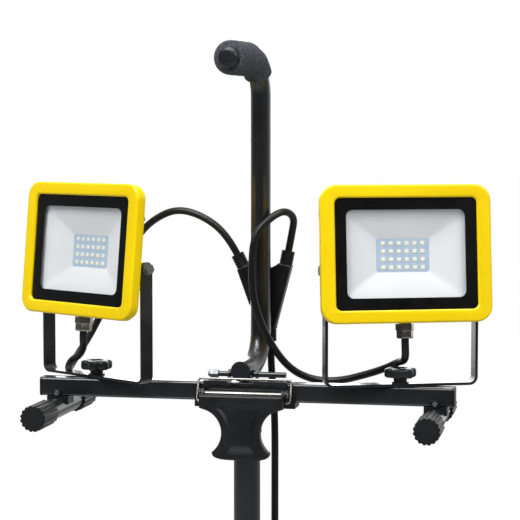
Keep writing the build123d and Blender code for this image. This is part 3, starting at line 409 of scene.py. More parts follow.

# %% [markdown]
# ## Plastics, rubber and foam
# Moulded plastic copies the fine spark grain of its mould. Rubber is duller and picks up pale
# dust in its hollows. The grip's closed cell foam is cut through its bubbles, which a cell
# pattern gives: pits with painted shade, darker than the paler walls between them.

# %% Plastics, rubber and foam


def moulded(name, tone, rough, grain):
    plastic = Finish(name, Specular_IOR_Level=0.45)
    spark = plastic.noise(grain, 3.0, 0.65)
    drift = plastic.noise(25.0, 4.0, 0.6)
    pale = tuple(value * 1.7 + 0.002 for value in tone[:3]) + (1.0,)
    plastic.tint(drift, 0.4, 0.8, tone, pale)
    plastic.roughen(drift, 0.25, 0.75, 0.14, rough)
    plastic.bump(spark, 0.16, 0.0003)
    return plastic.material


def soft_rubber(name, tone, rough):
    rubber = Finish(name, Specular_IOR_Level=0.4)
    dust = rubber.noise(55.0, 6.0, 0.65)
    skin = rubber.noise(900.0, 2.0, 0.5)
    dusty = tuple(value + 0.006 for value in tone[:3]) + (1.0,)
    rubber.tint(dust, 0.5, 0.85, tone, dusty)
    rubber.roughen(dust, 0.3, 0.8, 0.2, rough)
    rubber.bump(skin, 0.10, 0.0003)
    return rubber.material


def cut_foam():
    foam = Finish("closed_cell_foam", Specular_IOR_Level=0.25)
    pits = foam.cells(620.0)
    fine = foam.noise(1100.0, 3.0, 0.6)
    drift = foam.noise(18.0, 4.0, 0.55)
    height = pits * 0.8 + fine * 0.5
    # The dark colour given to the cell pits is painted shade: the pits are hollows, and their
    # darkness stands in for the shade that falls into them.
    speckle = foam.ramp(height, 0.35, 1.0)
    walls = foam.mix(foam.ramp(drift, 0.3, 0.7), rgb(0.080, 0.090, 0.104), rgb(0.112, 0.124, 0.140))
    foam.feed("Base Color", foam.mix(speckle, rgb(0.016, 0.018, 0.022), walls))
    foam.roughen(fine, 0.2, 0.8, 0.12, 0.82)
    foam.bump(height, 0.7, 0.0008)
    return foam.material


finishes["black_plastic"] = moulded("black_nylon", rgb(0.0045, 0.005, 0.006), 0.33, 1300.0)
finishes["knob_plastic"] = moulded("knob_nylon", rgb(0.010, 0.012, 0.014), 0.20, 1100.0)
finishes["driver_case"] = moulded("potting_case", rgb(0.030, 0.030, 0.034), 0.50, 800.0)
finishes["gasket_rubber"] = soft_rubber("silicone_gasket", rgb(0.012, 0.012, 0.012), 0.55)
finishes["foot_rubber"] = soft_rubber("foot_rubber", rgb(0.014, 0.014, 0.014), 0.62)
finishes["lead_rubber"] = soft_rubber("lead_sheath", rgb(0.004, 0.0043, 0.0055), 0.30)
finishes["grey_foam"] = cut_foam()
print("finishes so far", len(finishes))

# %% [markdown]
# ## Glass, print and LEDs
# The window is toughened glass with a black border fired on its back. Light has to reach the
# tray behind it, so the pane is a thin see-through surface with a sharp gloss, and the border is
# its own black piece. The LED board has a pale solder mask with rows of copper pads, which are
# drawn from the board's own coordinates, stored on its mesh in millimetres.

# %% Glass, print and LEDs


def clear_pane():
    """Mirror as strong as glass reflects at each angle, and see-through for the rest."""
    pane = Finish("toughened_glass", Metallic=1.0)
    smudge = pane.noise(16.0, 4.0, 0.55)
    pane.tint(smudge, 0.3, 0.8, rgb(0.92, 0.96, 0.97), white)
    pane.roughen(smudge, 0.3, 0.9, 0.04, 0.02)
    facing = pane.node("ShaderNodeLayerWeight", None, {"Blend": 0.5}, "Facing")
    pane.feed("Alpha", facing**5.0 * 0.9 + 0.02)
    return pane.material


def fired_border():
    border = Finish("black_window_border", Specular_IOR_Level=0.15)
    cloud = border.noise(40.0, 3.0, 0.5)
    border.tint(cloud, 0.3, 0.8, rgb(0.004, 0.004, 0.004), rgb(0.008, 0.008, 0.008))
    border.roughen(cloud, 0.3, 0.8, 0.1, 0.2)
    return border.material


def solder_mask():
    board = Finish("pale_solder_mask", Roughness=0.35)
    local = board.node("ShaderNodeAttribute", {"attribute_name": "own_mm"}, None, "Vector")
    half_x, half_z = chip_pitch_x / 2, chip_pitch_z / 2
    across, up = board.along(local, "X"), board.along(local, "Z")
    column = across.math("PINGPONG", across + half_x, half_x)
    row = up.math("PINGPONG", up - board_up + half_z, half_z)
    track_edge, track_end, pad_start, pad_half = 3.86, 3.4, 2.2, 1.0
    track = (column > track_edge) * (1 - (row > track_end))
    pads = (row > pad_start) * (1 - (column > pad_half))
    mask = board.noise(60.0, 3.0, 0.5)
    blue = board.mix(board.ramp(mask, 0.3, 0.7), rgb(0.44, 0.57, 0.72), rgb(0.50, 0.63, 0.76))
    lined = board.mix(track * 0.5, blue, rgb(0.60, 0.68, 0.76))
    board.feed("Base Color", board.mix(pads * 0.55, lined, rgb(0.62, 0.66, 0.68)))
    board.bump(track + mask * 0.2, 0.2, 0.0003)
    return board.material


def fine_grained(name, rough, scale, detail, low, high):
    surface = Finish(name, Roughness=rough)
    grain = surface.noise(scale, detail, 0.6)
    surface.tint(grain, 0.3, 0.7, low, high)
    surface.bump(grain, 0.05, 0.0002)
    return surface.material


cream = (rgb(0.93, 0.93, 0.72), rgb(0.97, 0.97, 0.80))
ivory = (rgb(0.83, 0.82, 0.74), rgb(0.90, 0.89, 0.82))
finishes["window_glass"] = clear_pane()
finishes["board_laminate"] = solder_mask()
finishes["chip_phosphor"] = fine_grained("led_phosphor", 0.22, 1800.0, 2.0, *cream)
border_finish = fired_border()
package_finish = fine_grained("led_package", 0.3, 900.0, 3.0, *ivory)
print("finishes", len(finishes) + 2)

# %% [markdown]
# ## Making pieces
# Every mesh is built in millimetres, in the axes that suit it, and written in metres in its
# place, so that its object can stay at the origin. Sharp edges are marked by angle, and a small
# bevel rounds the rest: a real edge always has a radius, and that radius is what shows as a thin
# bright line.

# %% Piece helpers


def write_piece(name, mesh, place, finish, body, corner=0.0, sharp=35.0):
    """Turn a mesh in millimetres into a finished object that rides on a body."""
    mesh.transform(place @ Matrix.Diagonal((mm, mm, mm, 1)))
    return finish_piece(name, mesh, finish, body, corner, sharp)


def finish_piece(name, mesh, finish, body, corner=0.0, sharp=35.0):
    mesh.name = name
    mesh.materials.clear()
    mesh.materials.append(finish)
    mesh.shade_smooth()
    mesh.set_sharp_from_angle(angle=radians(sharp))
    piece = set_down(name, mesh)
    if corner:
        rounding = piece.modifiers.new("edge_rounding", "BEVEL")
        rounding.width = corner * mm
        rounding.segments = 2
        rounding.limit_method = "ANGLE"
        rounding.angle_limit = radians(sharp)
        rounding.harden_normals = True
        rounding.use_clamp_overlap = True
    if body:
        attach(piece, body)
    return piece


def mesh_of(shape):
    mesh = bpy.data.meshes.new("shape")
    shape.to_mesh(mesh)
    shape.free()
    return mesh


def solid_mesh(shape):
    """Mesh with its doubled corners merged and its faces turned outwards."""
    bmesh.ops.remove_doubles(shape, verts=shape.verts, dist=1e-4)
    bmesh.ops.recalc_face_normals(shape, faces=shape.faces)
    return mesh_of(shape)


def round_steps(sides):
    """Cosine and sine at each corner of a round."""
    return [(cos(2 * pi * step / sides), sin(2 * pi * step / sides)) for step in range(sides)]


def rounded_outline(width, height, corner, steps=8):
    """Corners of a rounded rectangle about the origin, anticlockwise."""
    points = []
    for quarter, (sx, sy) in enumerate(((1, 1), (-1, 1), (-1, -1), (1, -1))):
        for step in range(steps + 1):
            angle = (quarter + step / steps) * pi / 2
            x = sx * (width / 2 - corner) + corner * cos(angle)
            y = sy * (height / 2 - corner) + corner * sin(angle)
            points.append((x, y))
    return points


def skin(shape, rows, around=True):
    """Faces between neighbouring rows of vertices, round each row or along it."""
    for low, high in zip(rows, rows[1:]):
        for step in range(len(low) - (not around)):
            after = (step + 1) % len(low)
            shape.faces.new((low[step], low[after], high[after], high[step]))


def loft(shape, rings):
    """Join rings of points with faces, and close both ends."""
    rows = [[shape.verts.new(point) for point in ring] for ring in rings]
    skin(shape, rows)
    shape.faces.new(rows[0][::-1])
    shape.faces.new(rows[-1])


def lofted(rings):
    shape = bmesh.new()
    loft(shape, rings)
    return solid_mesh(shape)


def merged_node(node):
    """A CAD node's mesh as a bmesh, with its loose triangles joined up."""
    shape = bmesh.new()
    shape.from_mesh(frame["nodes"][node].data)
    bmesh.ops.remove_doubles(shape, verts=shape.verts, dist=1e-7)
    return shape


def refined(node, corner, finish=None, own=None, sharp=35.0):
    """A merged copy of a CAD node with rounded edges, in the node's place.

    Where own axes are given, each vertex's place about them is stored in millimetres.
    """
    shape = merged_node(node)
    flat = radians(0.4)
    bmesh.ops.dissolve_limit(
        shape, angle_limit=flat, verts=shape.verts, edges=shape.edges, delimit={"NORMAL"}
    )
    mesh = mesh_of(shape)
    if own is not None:
        stored = mesh.attributes.new("own_mm", "FLOAT_VECTOR", "POINT")
        for vertex in mesh.vertices:
            stored.data[vertex.index].vector = (own.inverted() @ vertex.co) / mm
    slot = slot_of_node[node]
    finish, body = finish or finishes[slot], body_of_node[node]
    piece = finish_piece(f"{node}_finished", mesh, finish, body, corner, sharp)
    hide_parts(node)
    return piece


print("piece helpers ready")

# %% [markdown]
# ## The leads
# A lead is one smooth line: straight out of its gland, down, and along. Its route is a handful of
# points, and a NURBS spline of order three bends between them without touching them. The round
# sheath follows points read back from that spline. Each lamp lead is two tubes: a short stretch
# at the gland and the rest, joined where the two routes meet.

# %% Lead routes, in millimetres about the middle of the crossbar
splitter_back = 72.0
lead_out, seat_straight = 7.5, 21.0
splitter_seats = {
    "left": ((-22.8, 140.2), (-15.9, 126.8)),
    "right": ((34.3, 144.7), (31.4, 130.0)),
    "foot": ((14.7, 45.4), (14.7, 60.0)),
}


def seat_axis(seat):
    mouth, base = splitter_seats[seat]
    return Vector((base[0] - mouth[0], 0, base[1] - mouth[1])).normalized()


def near_seat(seat, inside):
    """Point on a splitter seat's axis, this far inside its mouth."""
    mouth = splitter_seats[seat][0]
    return Vector((mouth[0], splitter_back, mouth[1])) + seat_axis(seat) * inside


def gland_point(side, drop):
    """Point on a gland's axis, this far below the tilt axis."""
    point = turned(lamp_yaws[side], "Z") @ turned(-lamp_tilts[side], "X")
    place = point @ Vector((0, -gland_ahead, -drop))
    return place + Vector((lamp_sides[side] - bar_shift, 0, tilt_height))


short_stretch = {
    "right": [(173.0, -14.0, 43.0), (170.0, -2.0, 36.5), (162.0, 13.0, 33.5)],
    "left": [(-174.5, -7.0, 44.0), (-184.0, 9.0, 32.5)],
}
long_stretch = {
    "right": [
        (148.0, 24.0, 25.0), (128.0, 29.5, 17.5), (96.0, 36.0, 8.0),
        (66.0, 40.0, 8.0), (41.0, 34.0, 21.0), (20.0, 27.0, 52.0),
        (4.5, 26.0, 91.0), (2.0, 28.0, 131.0), (5.0, 29.0, 164.0),
        (20.5, 37.0, 182.0), (34.0, 49.0, 190.0), (42.0, 66.0, 182.0),
    ],
    "left": [
        (-203.0, 33.0, 22.5), (-214.0, 60.0, 7.0), (-214.0, 83.0, 17.0),
        (-199.0, 103.0, 46.0), (-181.0, 112.0, 86.0), (-165.0, 112.0, 124.0),
        (-148.0, 104.0, 153.0), (-124.0, 90.0, 176.0), (-92.0, 80.0, 190.0),
        (-58.0, 75.0, 180.0),
    ],
}
print("route corners", {side: len(points) for side, points in long_stretch.items()})

# %% Splines and tubes


def spline_line(corners, place, fineness=10):
    """Points along the smooth spline whose control points are the route's corners."""
    curve = bpy.data.curves.new("route", "CURVE")
    curve.dimensions = "3D"
    curve.resolution_u = fineness
    spline = curve.splines.new("NURBS")
    spline.points.add(len(corners) - 1)
    for point, corner in zip(spline.points, corners):
        point.co = (*(place @ (Vector(corner) * mm)), 1)
    spline.order_u = 3
    spline.use_endpoint_u = True
    holder = set_down("route", curve)
    bpy.context.view_layer.update()
    line = bpy.data.meshes.new_from_object(holder)
    points = [vertex.co.copy() for vertex in line.vertices]
    bpy.data.objects.remove(holder)
    bpy.data.curves.remove(curve)
    bpy.data.meshes.remove(line)
    return points


def line_length(points):
    return sum((after - before).length for before, after in zip(points, points[1:]))


def tube_mesh(points, radius_at, sides):
    """Round tube along points in metres; radius_at gives its radius at a share of its length."""
    shape = bmesh.new()
    ahead = (points[1] - points[0]).normalized()
    across = ahead.orthogonal().normalized()
    walked, total = 0.0, line_length(points)
    rings = []
    for index, point in enumerate(points):
        before = points[max(index - 1, 0)]
        after = points[min(index + 1, len(points) - 1)]
        tangent = (after - before).normalized()
        across = ahead.rotation_difference(tangent) @ across
        ahead = tangent
        up = tangent.cross(across)
        if index:
            walked += (point - before).length
        radius = radius_at(walked / total)
        rings.append([point + (across * c + up * s) * radius for c, s in round_steps(sides)])
    loft(shape, rings)
    bmesh.ops.recalc_face_normals(shape, faces=shape.faces)
    return mesh_of(shape)


def lay_lead(name, points, sides=20):
    mesh = tube_mesh(points, lambda share: lead_radius * mm, sides)
    return finish_piece(name, mesh, finishes["lead_rubber"], None)


print("tube helper ready")

# %% The two lamp leads
for side in lamp_sides:
    first = [gland_point(side, drop) for drop in (gland_drop - lead_seat, gland_drop + lead_out)]
    first += [Vector(corner) for corner in short_stretch[side]]
    second = [Vector(corner) for corner in long_stretch[side]]
    second += [near_seat(side, -seat_straight), near_seat(side, lead_seat)]
    joint = (first[-1] + second[0]) / 2
    near_line = spline_line(first + [joint], bar_place)
    far_line = spline_line([joint] + second, bar_place)
    near = lay_lead(f"lamp_lead_{side}_at_gland", near_line)
    far = lay_lead(f"lamp_lead_{side}", far_line)
    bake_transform(near)
    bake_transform(far)
    for piece, line in ((near, near_line), (far, far_line)):
        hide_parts(f"lead_{side}")
        line_length(line)
    print(side, "lead", round(line_length(near_line) + line_length(far_line), 3), "m")

# %% [markdown]
# ## The main lead and its coil
# The main lead drops from the splitter to the floor, and its spare length is wound beside the
# mast in two lanes and two layers. Lanes change over a part of a turn where no other turn lies,
# so that the coil is round and no turn passes through another.

# %% Main lead
floor_lead = lead_radius + 0.2
coil_side, coil_back, coil_radius = -22.0, 182.0, 44.0
plug_start = 136.0
outer_lane, inner_lane = 48.1, 39.9
low_layer, high_layer = floor_lead, floor_lead + 8.1
turn_step = 22.5
spline_shrink = 0.981


def smooth(value):
    """Soft step from nought to one."""
    share = min(max(value, 0.0), 1.0)
    return share * share * (3 - 2 * share)


def coil_corner(angle):
    """Corner of the coil's route at this many degrees round it.

    The corners lie a little outside the line, because a spline cuts inside them.
    """
    inward = smooth((angle - 275) / 60) - smooth((angle - 900) / 65)
    radius = outer_lane + (inner_lane - outer_lane) * inward
    height = low_layer + (high_layer - low_layer) * smooth((angle - 590) / 50)
    wide = radius / spline_shrink
    return Vector(
        (coil_side + wide * cos(radians(angle)), coil_back + wide * sin(radians(angle)), height)
    )


floor_down = floor_lead - bar_height
down_corners = [
    (14.7, 72.0, 24.0), (17.5, 70.0, -4.0), (20.8, 65.0, -44.0), (20.8, 64.0, -120.0),
    (20.9, 64.0, -400.0), (21.0, 64.0, floor_down + 52.0), (22.0, 88.0, floor_down),
    (25.0, 122.0, floor_down), (25.5, 146.0, floor_down), (28.4, 166.0, floor_down),
]
to_bar = Vector((bar_shift, 0, bar_height))
main_corners = [near_seat("foot", lead_seat)] + [Vector(corner) for corner in down_corners]
main_corners += [coil_corner(turn_step * step) - to_bar for step in range(57)]
coil_edge = coil_side - coil_radius
plug_corners = [(coil_edge - 3.6, 168.0, high_layer), (coil_edge - 0.8, 152.0, high_layer)]
plug_corners += [(coil_edge, plug_start, floor_lead + 8.0)]
main_corners += [Vector(corner) - to_bar for corner in plug_corners]
main_line = spline_line(main_corners, bar_place, 6)
main_lead = lay_lead("main_lead_and_coil", main_line, 16)
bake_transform(main_lead)
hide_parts("main_lead", "lead_coil")
mains_plug = refined("mains_plug", 0.8)
print("main lead", round(line_length(main_line), 3), "m")

# %% Relief on the plug and tie round the coil


def ribbed_sleeve(start, end, wide, narrow, ribs):
    """Tapered sleeve with grooves, between two points in millimetres."""
    axis = end - start
    points = [(start + axis * share / 40) * mm for share in range(41)]

    def radius_at(share):
        groove = 0.35 * (0.5 + 0.5 * cos(2 * pi * ribs * share))
        return (wide + (narrow - wide) * share - groove) * mm

    return tube_mesh(points, radius_at, 24)


relief_mesh = ribbed_sleeve(
    Vector((coil_edge, plug_start - 2, high_layer)),
    Vector((coil_edge - 0.7, plug_start + 22, high_layer)),
    wide=6.6,
    narrow=4.6,
    ribs=7,
)
plug_relief = finish_piece("plug_relief", relief_mesh, finishes["lead_rubber"], "stand")

tie_ring = rounded_outline(18.2, 17.4, 4.6, 6)
tie_middle, tie_ahead, coil_far = 8.7, 30, coil_side + coil_radius
rings = []
for along, narrowing in ((-5.0, 0.35 / 9), (-4.6, 0.0), (4.6, 0.0), (5.0, 0.35 / 9)):
    wide, y = 1 - narrowing, coil_back + tie_ahead + along
    rings.append([(coil_far + x * wide, y, max(z + tie_middle, 0.05)) for x, z in tie_ring])
tie_mesh = lofted(rings)
tie_place = moved(coil_side, coil_back, 0) @ turned(62, "Z")
tie_place = tie_place @ moved(-coil_side, -coil_back - tie_ahead, 0)
coil_tie = write_piece("coil_tie", tie_mesh, tie_place, finishes["lead_rubber"], "stand")
line_length(main_line)
print("coil tied")

# %% [markdown]
# ## Repeats by Geometry Nodes
# Two small trees cover everything on the light that repeats: a grid of the same piece and a row
# of it. Each takes the piece itself as its geometry, has its sizes as named inputs, and ends in
# Realize Instances and Set Material. The result is written out as a plain mesh, and the modifier
# goes with the scratch object that carried it.

# %% Trees for a grid and a row


class Tree(Nodes):
    """A Geometry Nodes tree with named inputs."""

    def __init__(self, name, sizes):
        self.group = bpy.data.node_groups.new(name, "GeometryNodeTree")
        super().__init__(self.group)
        face = self.group.interface
        for label, kind in {"Piece": "Geometry", **sizes, "Material": "Material"}.items():
            face.new_socket(label, in_out="INPUT", socket_type=f"NodeSocket{kind}")
        face.new_socket("Result", in_out="OUTPUT", socket_type="NodeSocketGeometry")
        self.inside = self.group.nodes.new("NodeGroupInput")
        self.result = self.group.nodes.new("NodeGroupOutput")

    def size(self, name):
        return Wire(self.group, self.inside.outputs[name])

    def repeat_on(self, spots):
        """A copy of the piece on each spot, made real and painted."""
        values = {"Points": spots, "Instance": self.size("Piece")}
        placed = self.node("GeometryNodeInstanceOnPoints", None, values)
        real = self.node("GeometryNodeRealizeInstances", None, {0: placed})
        values = {"Geometry": real, "Material": self.size("Material")}
        painted = self.node("GeometryNodeSetMaterial", None, values)
        self.group.links.new(painted.socket, self.result.inputs[0])
        return self.group


def grid_tree():
    sizes = {"Columns": "Int", "Rows": "Int", "Pitch X": "Float", "Pitch Y": "Float"}
    tree = Tree("grid_of_pieces", sizes)
    columns, rows = tree.size("Columns"), tree.size("Rows")
    values = {
        "Size X": (columns - 1) * tree.size("Pitch X"),
        "Size Y": (rows - 1) * tree.size("Pitch Y"),
        "Vertices X": columns,
        "Vertices Y": rows,
    }
    return tree.repeat_on(tree.node("GeometryNodeMeshGrid", None, values))


def row_tree():
    tree = Tree("row_of_pieces", {"Count": "Int", "Pitch": "Float"})
    step = tree.node("ShaderNodeCombineXYZ", None, {"X": tree.size("Pitch")})
    values = {"Count": tree.size("Count"), "Offset": step}
    return tree.repeat_on(tree.node("GeometryNodeMeshLine", None, values))


trees = {"grid": grid_tree(), "row": row_tree()}


def repeated(seed, tree, sizes, finish):
    """Plain mesh of a seed mesh repeated by a tree, in the seed's own axes."""
    holder = set_down("seed", seed)
    modifier = holder.modifiers.new("repeat", "NODES")
    modifier.node_group = trees[tree]
    values = dict(sizes, Material=finish)
    for item in trees[tree].interface.items_tree:
        if item.in_out == "INPUT" and item.name in values:
            modifier[item.identifier] = values[item.name]
    bpy.context.view_layer.update()
    evaluated = holder.evaluated_get(bpy.context.evaluated_depsgraph_get())
    mesh = bpy.data.meshes.new_from_object(evaluated)
    bpy.data.objects.remove(holder)
    return mesh


def block(width, depth, height, corner, top_inset=0.0):
    """Rounded block from Z nought upwards, with its top edge eased."""
    rings = []
    for z, inset in ((0.0, 0.0), (height * 0.75, 0.0), (height, max(top_inset, height * 0.2))):
        left = max(corner - inset, 0.05)
        outline = rounded_outline(width - 2 * inset, depth - 2 * inset, left, 3)
        rings.append([(x, y, z) for x, y in outline])
    return lofted(rings)


print("trees", sorted(trees))

# %% [markdown]
# ## Inside the lamps
# Each lamp has a pale board with twenty four LEDs. An LED is a white package with a cream
# phosphor window, so the grid runs twice: once for the packages and once for the windows.

# %% LEDs, boards and trays
chip_grid = {"Columns": 6, "Rows": 4, "Pitch X": chip_pitch_x, "Pitch Y": chip_pitch_z}
led_parts = {
    "led_packages": ((4.3, 4.0, 0.6, 0.2), package_finish),
    "led_phosphor": ((3.6, 3.3, 0.8, 0.5, 0.12), finishes["chip_phosphor"]),
}
for side in lamp_sides:
    on_board = head_places[side] @ moved(0, -board_ahead, board_up) @ face_up
    for label, (sizes, finish) in led_parts.items():
        mesh = repeated(block(*sizes), "grid", chip_grid, finish)
        piece = write_piece(f"{label}_{side}", mesh, on_board, finish, f"head_{side}")
        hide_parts(f"led_chips_{side}")
    refined(f"led_board_{side}", 0.15, own=head_places[side])
    refined(f"lamp_reflector_{side}", 0.0, sharp=50.0)
    refined(f"led_driver_{side}", 0.8)
    refined(f"lamp_gasket_{side}", 0.2)
print("LED grids", 2 * 24, "chips")

# %% [markdown]
# ## The windows
# The border is a frame a fraction of a millimetre behind the pane's front, so that the pane's
# gloss lies over it. Its opening has small round corners where the tray shows through.

# %% Windows
window_width, window_height = 150.0, 115.0
opening_width, opening_height = 126.0, 91.0
glass_ahead = 24.5
for side in lamp_sides:
    at_glass = head_places[side] @ moved(0, -glass_ahead, head_rise) @ face_up
    pane_outline = rounded_outline(window_width + 7.8, window_height + 7.8, 9.8)
    pane_mesh = lofted([[(x, y, z) for x, y in pane_outline] for z in (-3.9, -0.05)])
    body, finish = f"head_{side}", finishes["window_glass"]
    pane_piece = write_piece(f"window_pane_{side}", pane_mesh, at_glass, finish, body, 0.3)
    border = bmesh.new()
    outside = rounded_outline(window_width + 7.4, window_height + 7.4, 9.6)
    inside = rounded_outline(opening_width - 0.6, opening_height - 0.6, 7.0)
    rows = []
    for outline, z in ((outside, -0.9), (outside, -0.4), (inside, -0.4), (inside, -0.9)):
        rows.append([border.verts.new((x, y, z)) for x, y in outline])
    skin(border, rows + rows[:1])
    border_mesh = solid_mesh(border)
    border_piece = write_piece(f"window_border_{side}", border_mesh, at_glass, border_finish, body)
    for piece in (pane_piece, border_piece):
        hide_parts(f"lamp_glass_{side}")
print("windows done")

# %% [markdown]
# ## Frames, shells and brackets
# These are castings and bent strip, whose CAD shapes are already right. A merged copy gets its
# edges rounded by a bevel, which is what makes powder coat look thick.

# %% Lamp bodies
lamp_corners = {"lamp_bezel": 1.0, "lamp_housing": 0.5, "lamp_bracket": 0.5}
lamp_corners |= {"tilt_bolts": 0.3, "bezel_screws": 0.3, "lamp_gland": 0.4}
for side in lamp_sides:
    for node, corner in lamp_corners.items():
        refined(f"{node}_{side}", corner)
print("lamp bodies done")

# %% [markdown]
# ## Hand knobs
# A star knob is a ring of finger lobes round a hub. Its outline is a circle that swells six
# times, its top is domed and its skirt is drawn in, so it is lofted from a few such outlines.

# %% Knobs


def knob_mesh(reach, height, lobes=6):
    """Lobed knob from Z nought upwards."""
    skirt = ((0.0, 0.84), (0.06, 0.93), (0.16, 0.985), (0.3, 1.0))
    crown = ((0.72, 1.0), (0.86, 0.975), (0.95, 0.90), (1.0, 0.78))
    rings = []
    for level, share in skirt + crown:
        ring = []
        for step in range(120):
            angle = 2 * pi * step / 120
            swell = (0.5 + 0.5 * cos(lobes * angle)) ** 0.75
            radius = reach * share * (0.80 + 0.20 * swell)
            ring.append((radius * cos(angle), radius * sin(angle), level * height))
        rings.append(ring)
    dished = [(x * 0.62, y * 0.62, height) for x, y, z in rings[-1]]
    floor_ring = [(x * 0.56, y * 0.56, height - 1.0) for x, y, z in rings[-1]]
    return lofted(rings + [dished, floor_ring])


def turned_mesh(profile, sides=40):
    """Solid of revolution about Z from (radius, height) pairs."""
    return lofted([[(r * c, r * s, z) for c, s in round_steps(sides)] for r, z in profile])


def joined(meshes):
    """One mesh from several, each with its own matrix."""
    shape = bmesh.new()
    for mesh, place in meshes:
        mesh.transform(place)
        shape.from_mesh(mesh)
        bpy.data.meshes.remove(mesh)
    return mesh_of(shape)


def star_knob(hub, reach, height, hub_lift, knob_lift):
    """Lobed knob on its turned hub and stud."""
    parts = ((turned_mesh(hub), hub_lift), (knob_mesh(reach, height), knob_lift))
    return joined([(mesh, Matrix.Translation((0, 0, lift))) for mesh, lift in parts])


stud_radius = 3.85
hub_profile = ((stud_radius, -12.4), (stud_radius, 0.0), (9.0, 0.0), (9.0, 1.2))
hub_profile += ((8.7, 1.5), (7.0, 1.6), (7.0, 6.4))
for side in lamp_sides:
    knob = star_knob(hub_profile, 17.0, 10.0, 3.04, 9.0)
    place, finish = bracket_places[side], finishes["knob_plastic"]
    piece = write_piece(f"bracket_star_knob_{side}", knob, place, finish, f"knob_{side}")
    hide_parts(f"bracket_knob_{side}")
clamp_profile = ((stud_radius, -18.0), (stud_radius, 0.0), (8.0, 0.0), (8.0, 4.6), (8.3, 5.2))
clamp_knob = star_knob(clamp_profile, 18.0, 11.0, 0.0, 5.0)
collar_height, collar_face = 630, 32.5
clamp_place = moved(0, 0, collar_height) @ turned(-30, "Z")
clamp_place = clamp_place @ moved(collar_face, 0, 0) @ turned(90, "Y")
piece = write_piece("collar_star_knob", clamp_knob, clamp_place, finish, "collar_knob")
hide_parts("collar_knob")
print("knobs done")

# %% [markdown]
# ## Crossbar, feet and handle
# Square and round tube with a satin coat, plastic ends, and the fittings that hold them. All of
# them keep their CAD shapes.

# %% Crossbar unit
bar_corners = {"crossbar": 0.0, "crossbar_caps": 0.4, "foot_tubes": 0.3, "foot_caps": 0.35}
bar_corners |= {"foot_saddles": 0.5, "handle_tube": 0.2, "clamp_plate": 0.4}
bar_corners |= {"latch_cradle": 0.5, "latch_rod": 0.2, "latch_bail": 0.0, "y_splitter": 0.6}
for node, corner in bar_corners.items():
    refined(node, corner)
refined("handle_plugs", 0.3, finishes["knob_plastic"])
print("crossbar unit done")

# %% Fasteners: zinc screws and nuts, and one black bolt
fasteners = refined("crossbar_fasteners", 0.3)
fasteners.data.materials.append(finishes["black_paint"])
to_handle = handle_place.inverted()
for face in fasteners.data.polygons:
    place = to_handle @ face.center / mm
    beside_handle = place.z > 10 and abs(place.x) < 60
    on_nut = -38.2 < place.x < -28.8
    if beside_handle and not on_nut:
        face.material_index = 1
print("fasteners", [slot.name for slot in fasteners.data.materials])

# %% [markdown]
# ## The latch lever
# The lever is a moulded plate, wide at its hinge, waisted, and flared again where the fingers
# pull. Its front is dished with soft slopes. It is built as a sheet of rows: each row has its own
# half-width, and the front's depth follows from how far a point is inside the dish. The hinge
# knuckles behind it are cut from the CAD lever.

# %% Latch lever
lever_half, lever_top, lever_foot = 44.25, -0.8, -68.5
lever_shoulder, lever_flare = -14.8, -60.3
lever_front, lever_back = -36.0, -27.0
lever_round = 1.8
dish_depth, dish_slope = 3.2, 6.0


def edge_fall(inside, radius):
    """How far a rounded edge has fallen away, this far in from it."""
    left = min(max(radius - inside, 0.0), radius)
    return radius - (radius**2 - left**2) ** 0.5


def arc_side(first, middle, last):
    """Function that gives x at a height on the inward arc through three (x, z) points."""
    (ax, az), (bx, bz), (cx, cz) = first, middle, last
    twice = 2 * (ax * (bz - cz) + bx * (cz - az) + cx * (az - bz))
    squares = [x * x + z * z for x, z in (first, middle, last)]
    x = (squares[0] * (bz - cz) + squares[1] * (cz - az) + squares[2] * (az - bz)) / twice
    z = (squares[0] * (cx - bx) + squares[1] * (ax - cx) + squares[2] * (bx - ax)) / twice
    radius = ((ax - x) ** 2 + (az - z) ** 2) ** 0.5
    return lambda height: x - max(radius**2 - (height - z) ** 2, 0.0) ** 0.5


foot_half, foot_squareness = 30.6, 3.2
dish_high, dish_low = -10.8, -60.5
plate_side = arc_side((lever_half, lever_shoulder), (20.6, -39.5), (foot_half, lever_flare))
dish_side = arc_side((30.0, dish_high), (15.5, -38.0), (19.5, dish_low))


def half_width(z):
    if z > lever_shoulder:
        return lever_half
    if z > lever_flare:
        return plate_side(z)
    share = (lever_flare - z) / (lever_flare - lever_foot)
    return max(foot_half * max(1 - share**foot_squareness, 0.0) ** (1 / foot_squareness), 0.6)


def front_depth(x, z):
    """How far the front lies behind the lever's foremost plane."""
    edge = min(half_width(z) - abs(x), lever_top - z, z - lever_foot)
    inside = smooth((dish_side(min(max(z, dish_low), dish_high)) - abs(x)) / dish_slope)
    below_top = smooth((-9.0 - z) / dish_slope)
    above_foot = smooth((z + 65.0) / 15.0)
    return edge_fall(edge, lever_round) + dish_depth * inside * below_top * above_foot


def lever_rows(depth_at):
    start = lever_top - lever_round
    foot_height = lever_flare - lever_foot
    heights = [lever_top - step for step in (0.0, 0.25, 0.8, lever_round)]
    heights += [start - (start - lever_flare) * step / 50 for step in range(1, 51)]
    heights += [lever_flare - foot_height * sin(pi / 2 * step / 14) for step in range(1, 15)]
    rows = []
    for z in heights:
        half = half_width(z)
        rim = min(lever_round, half * 0.4)
        inner = [(half - rim) * step / 20 for step in range(-20, 21)]
        outer = [half - rim * share for share in (0.45, 0.14, 0.0)]
        places = [-x for x in reversed(outer)] + inner + outer
        rows.append([(x, depth_at(x, z), z) for x in places])
    return rows


def closed_sheet(front, back):
    """Solid between two sheets of points that have the same rows and columns."""
    shape = bmesh.new()
    rims = []
    for points in (front, back):
        sheet = [[shape.verts.new(point) for point in row] for row in points]
        skin(shape, sheet, around=False)
        rim = sheet[0] + [row[-1] for row in sheet[1:]] + sheet[-1][-2::-1]
        rims.append(rim + [row[0] for row in sheet[-2:0:-1]])
    skin(shape, rims)
    return solid_mesh(shape)


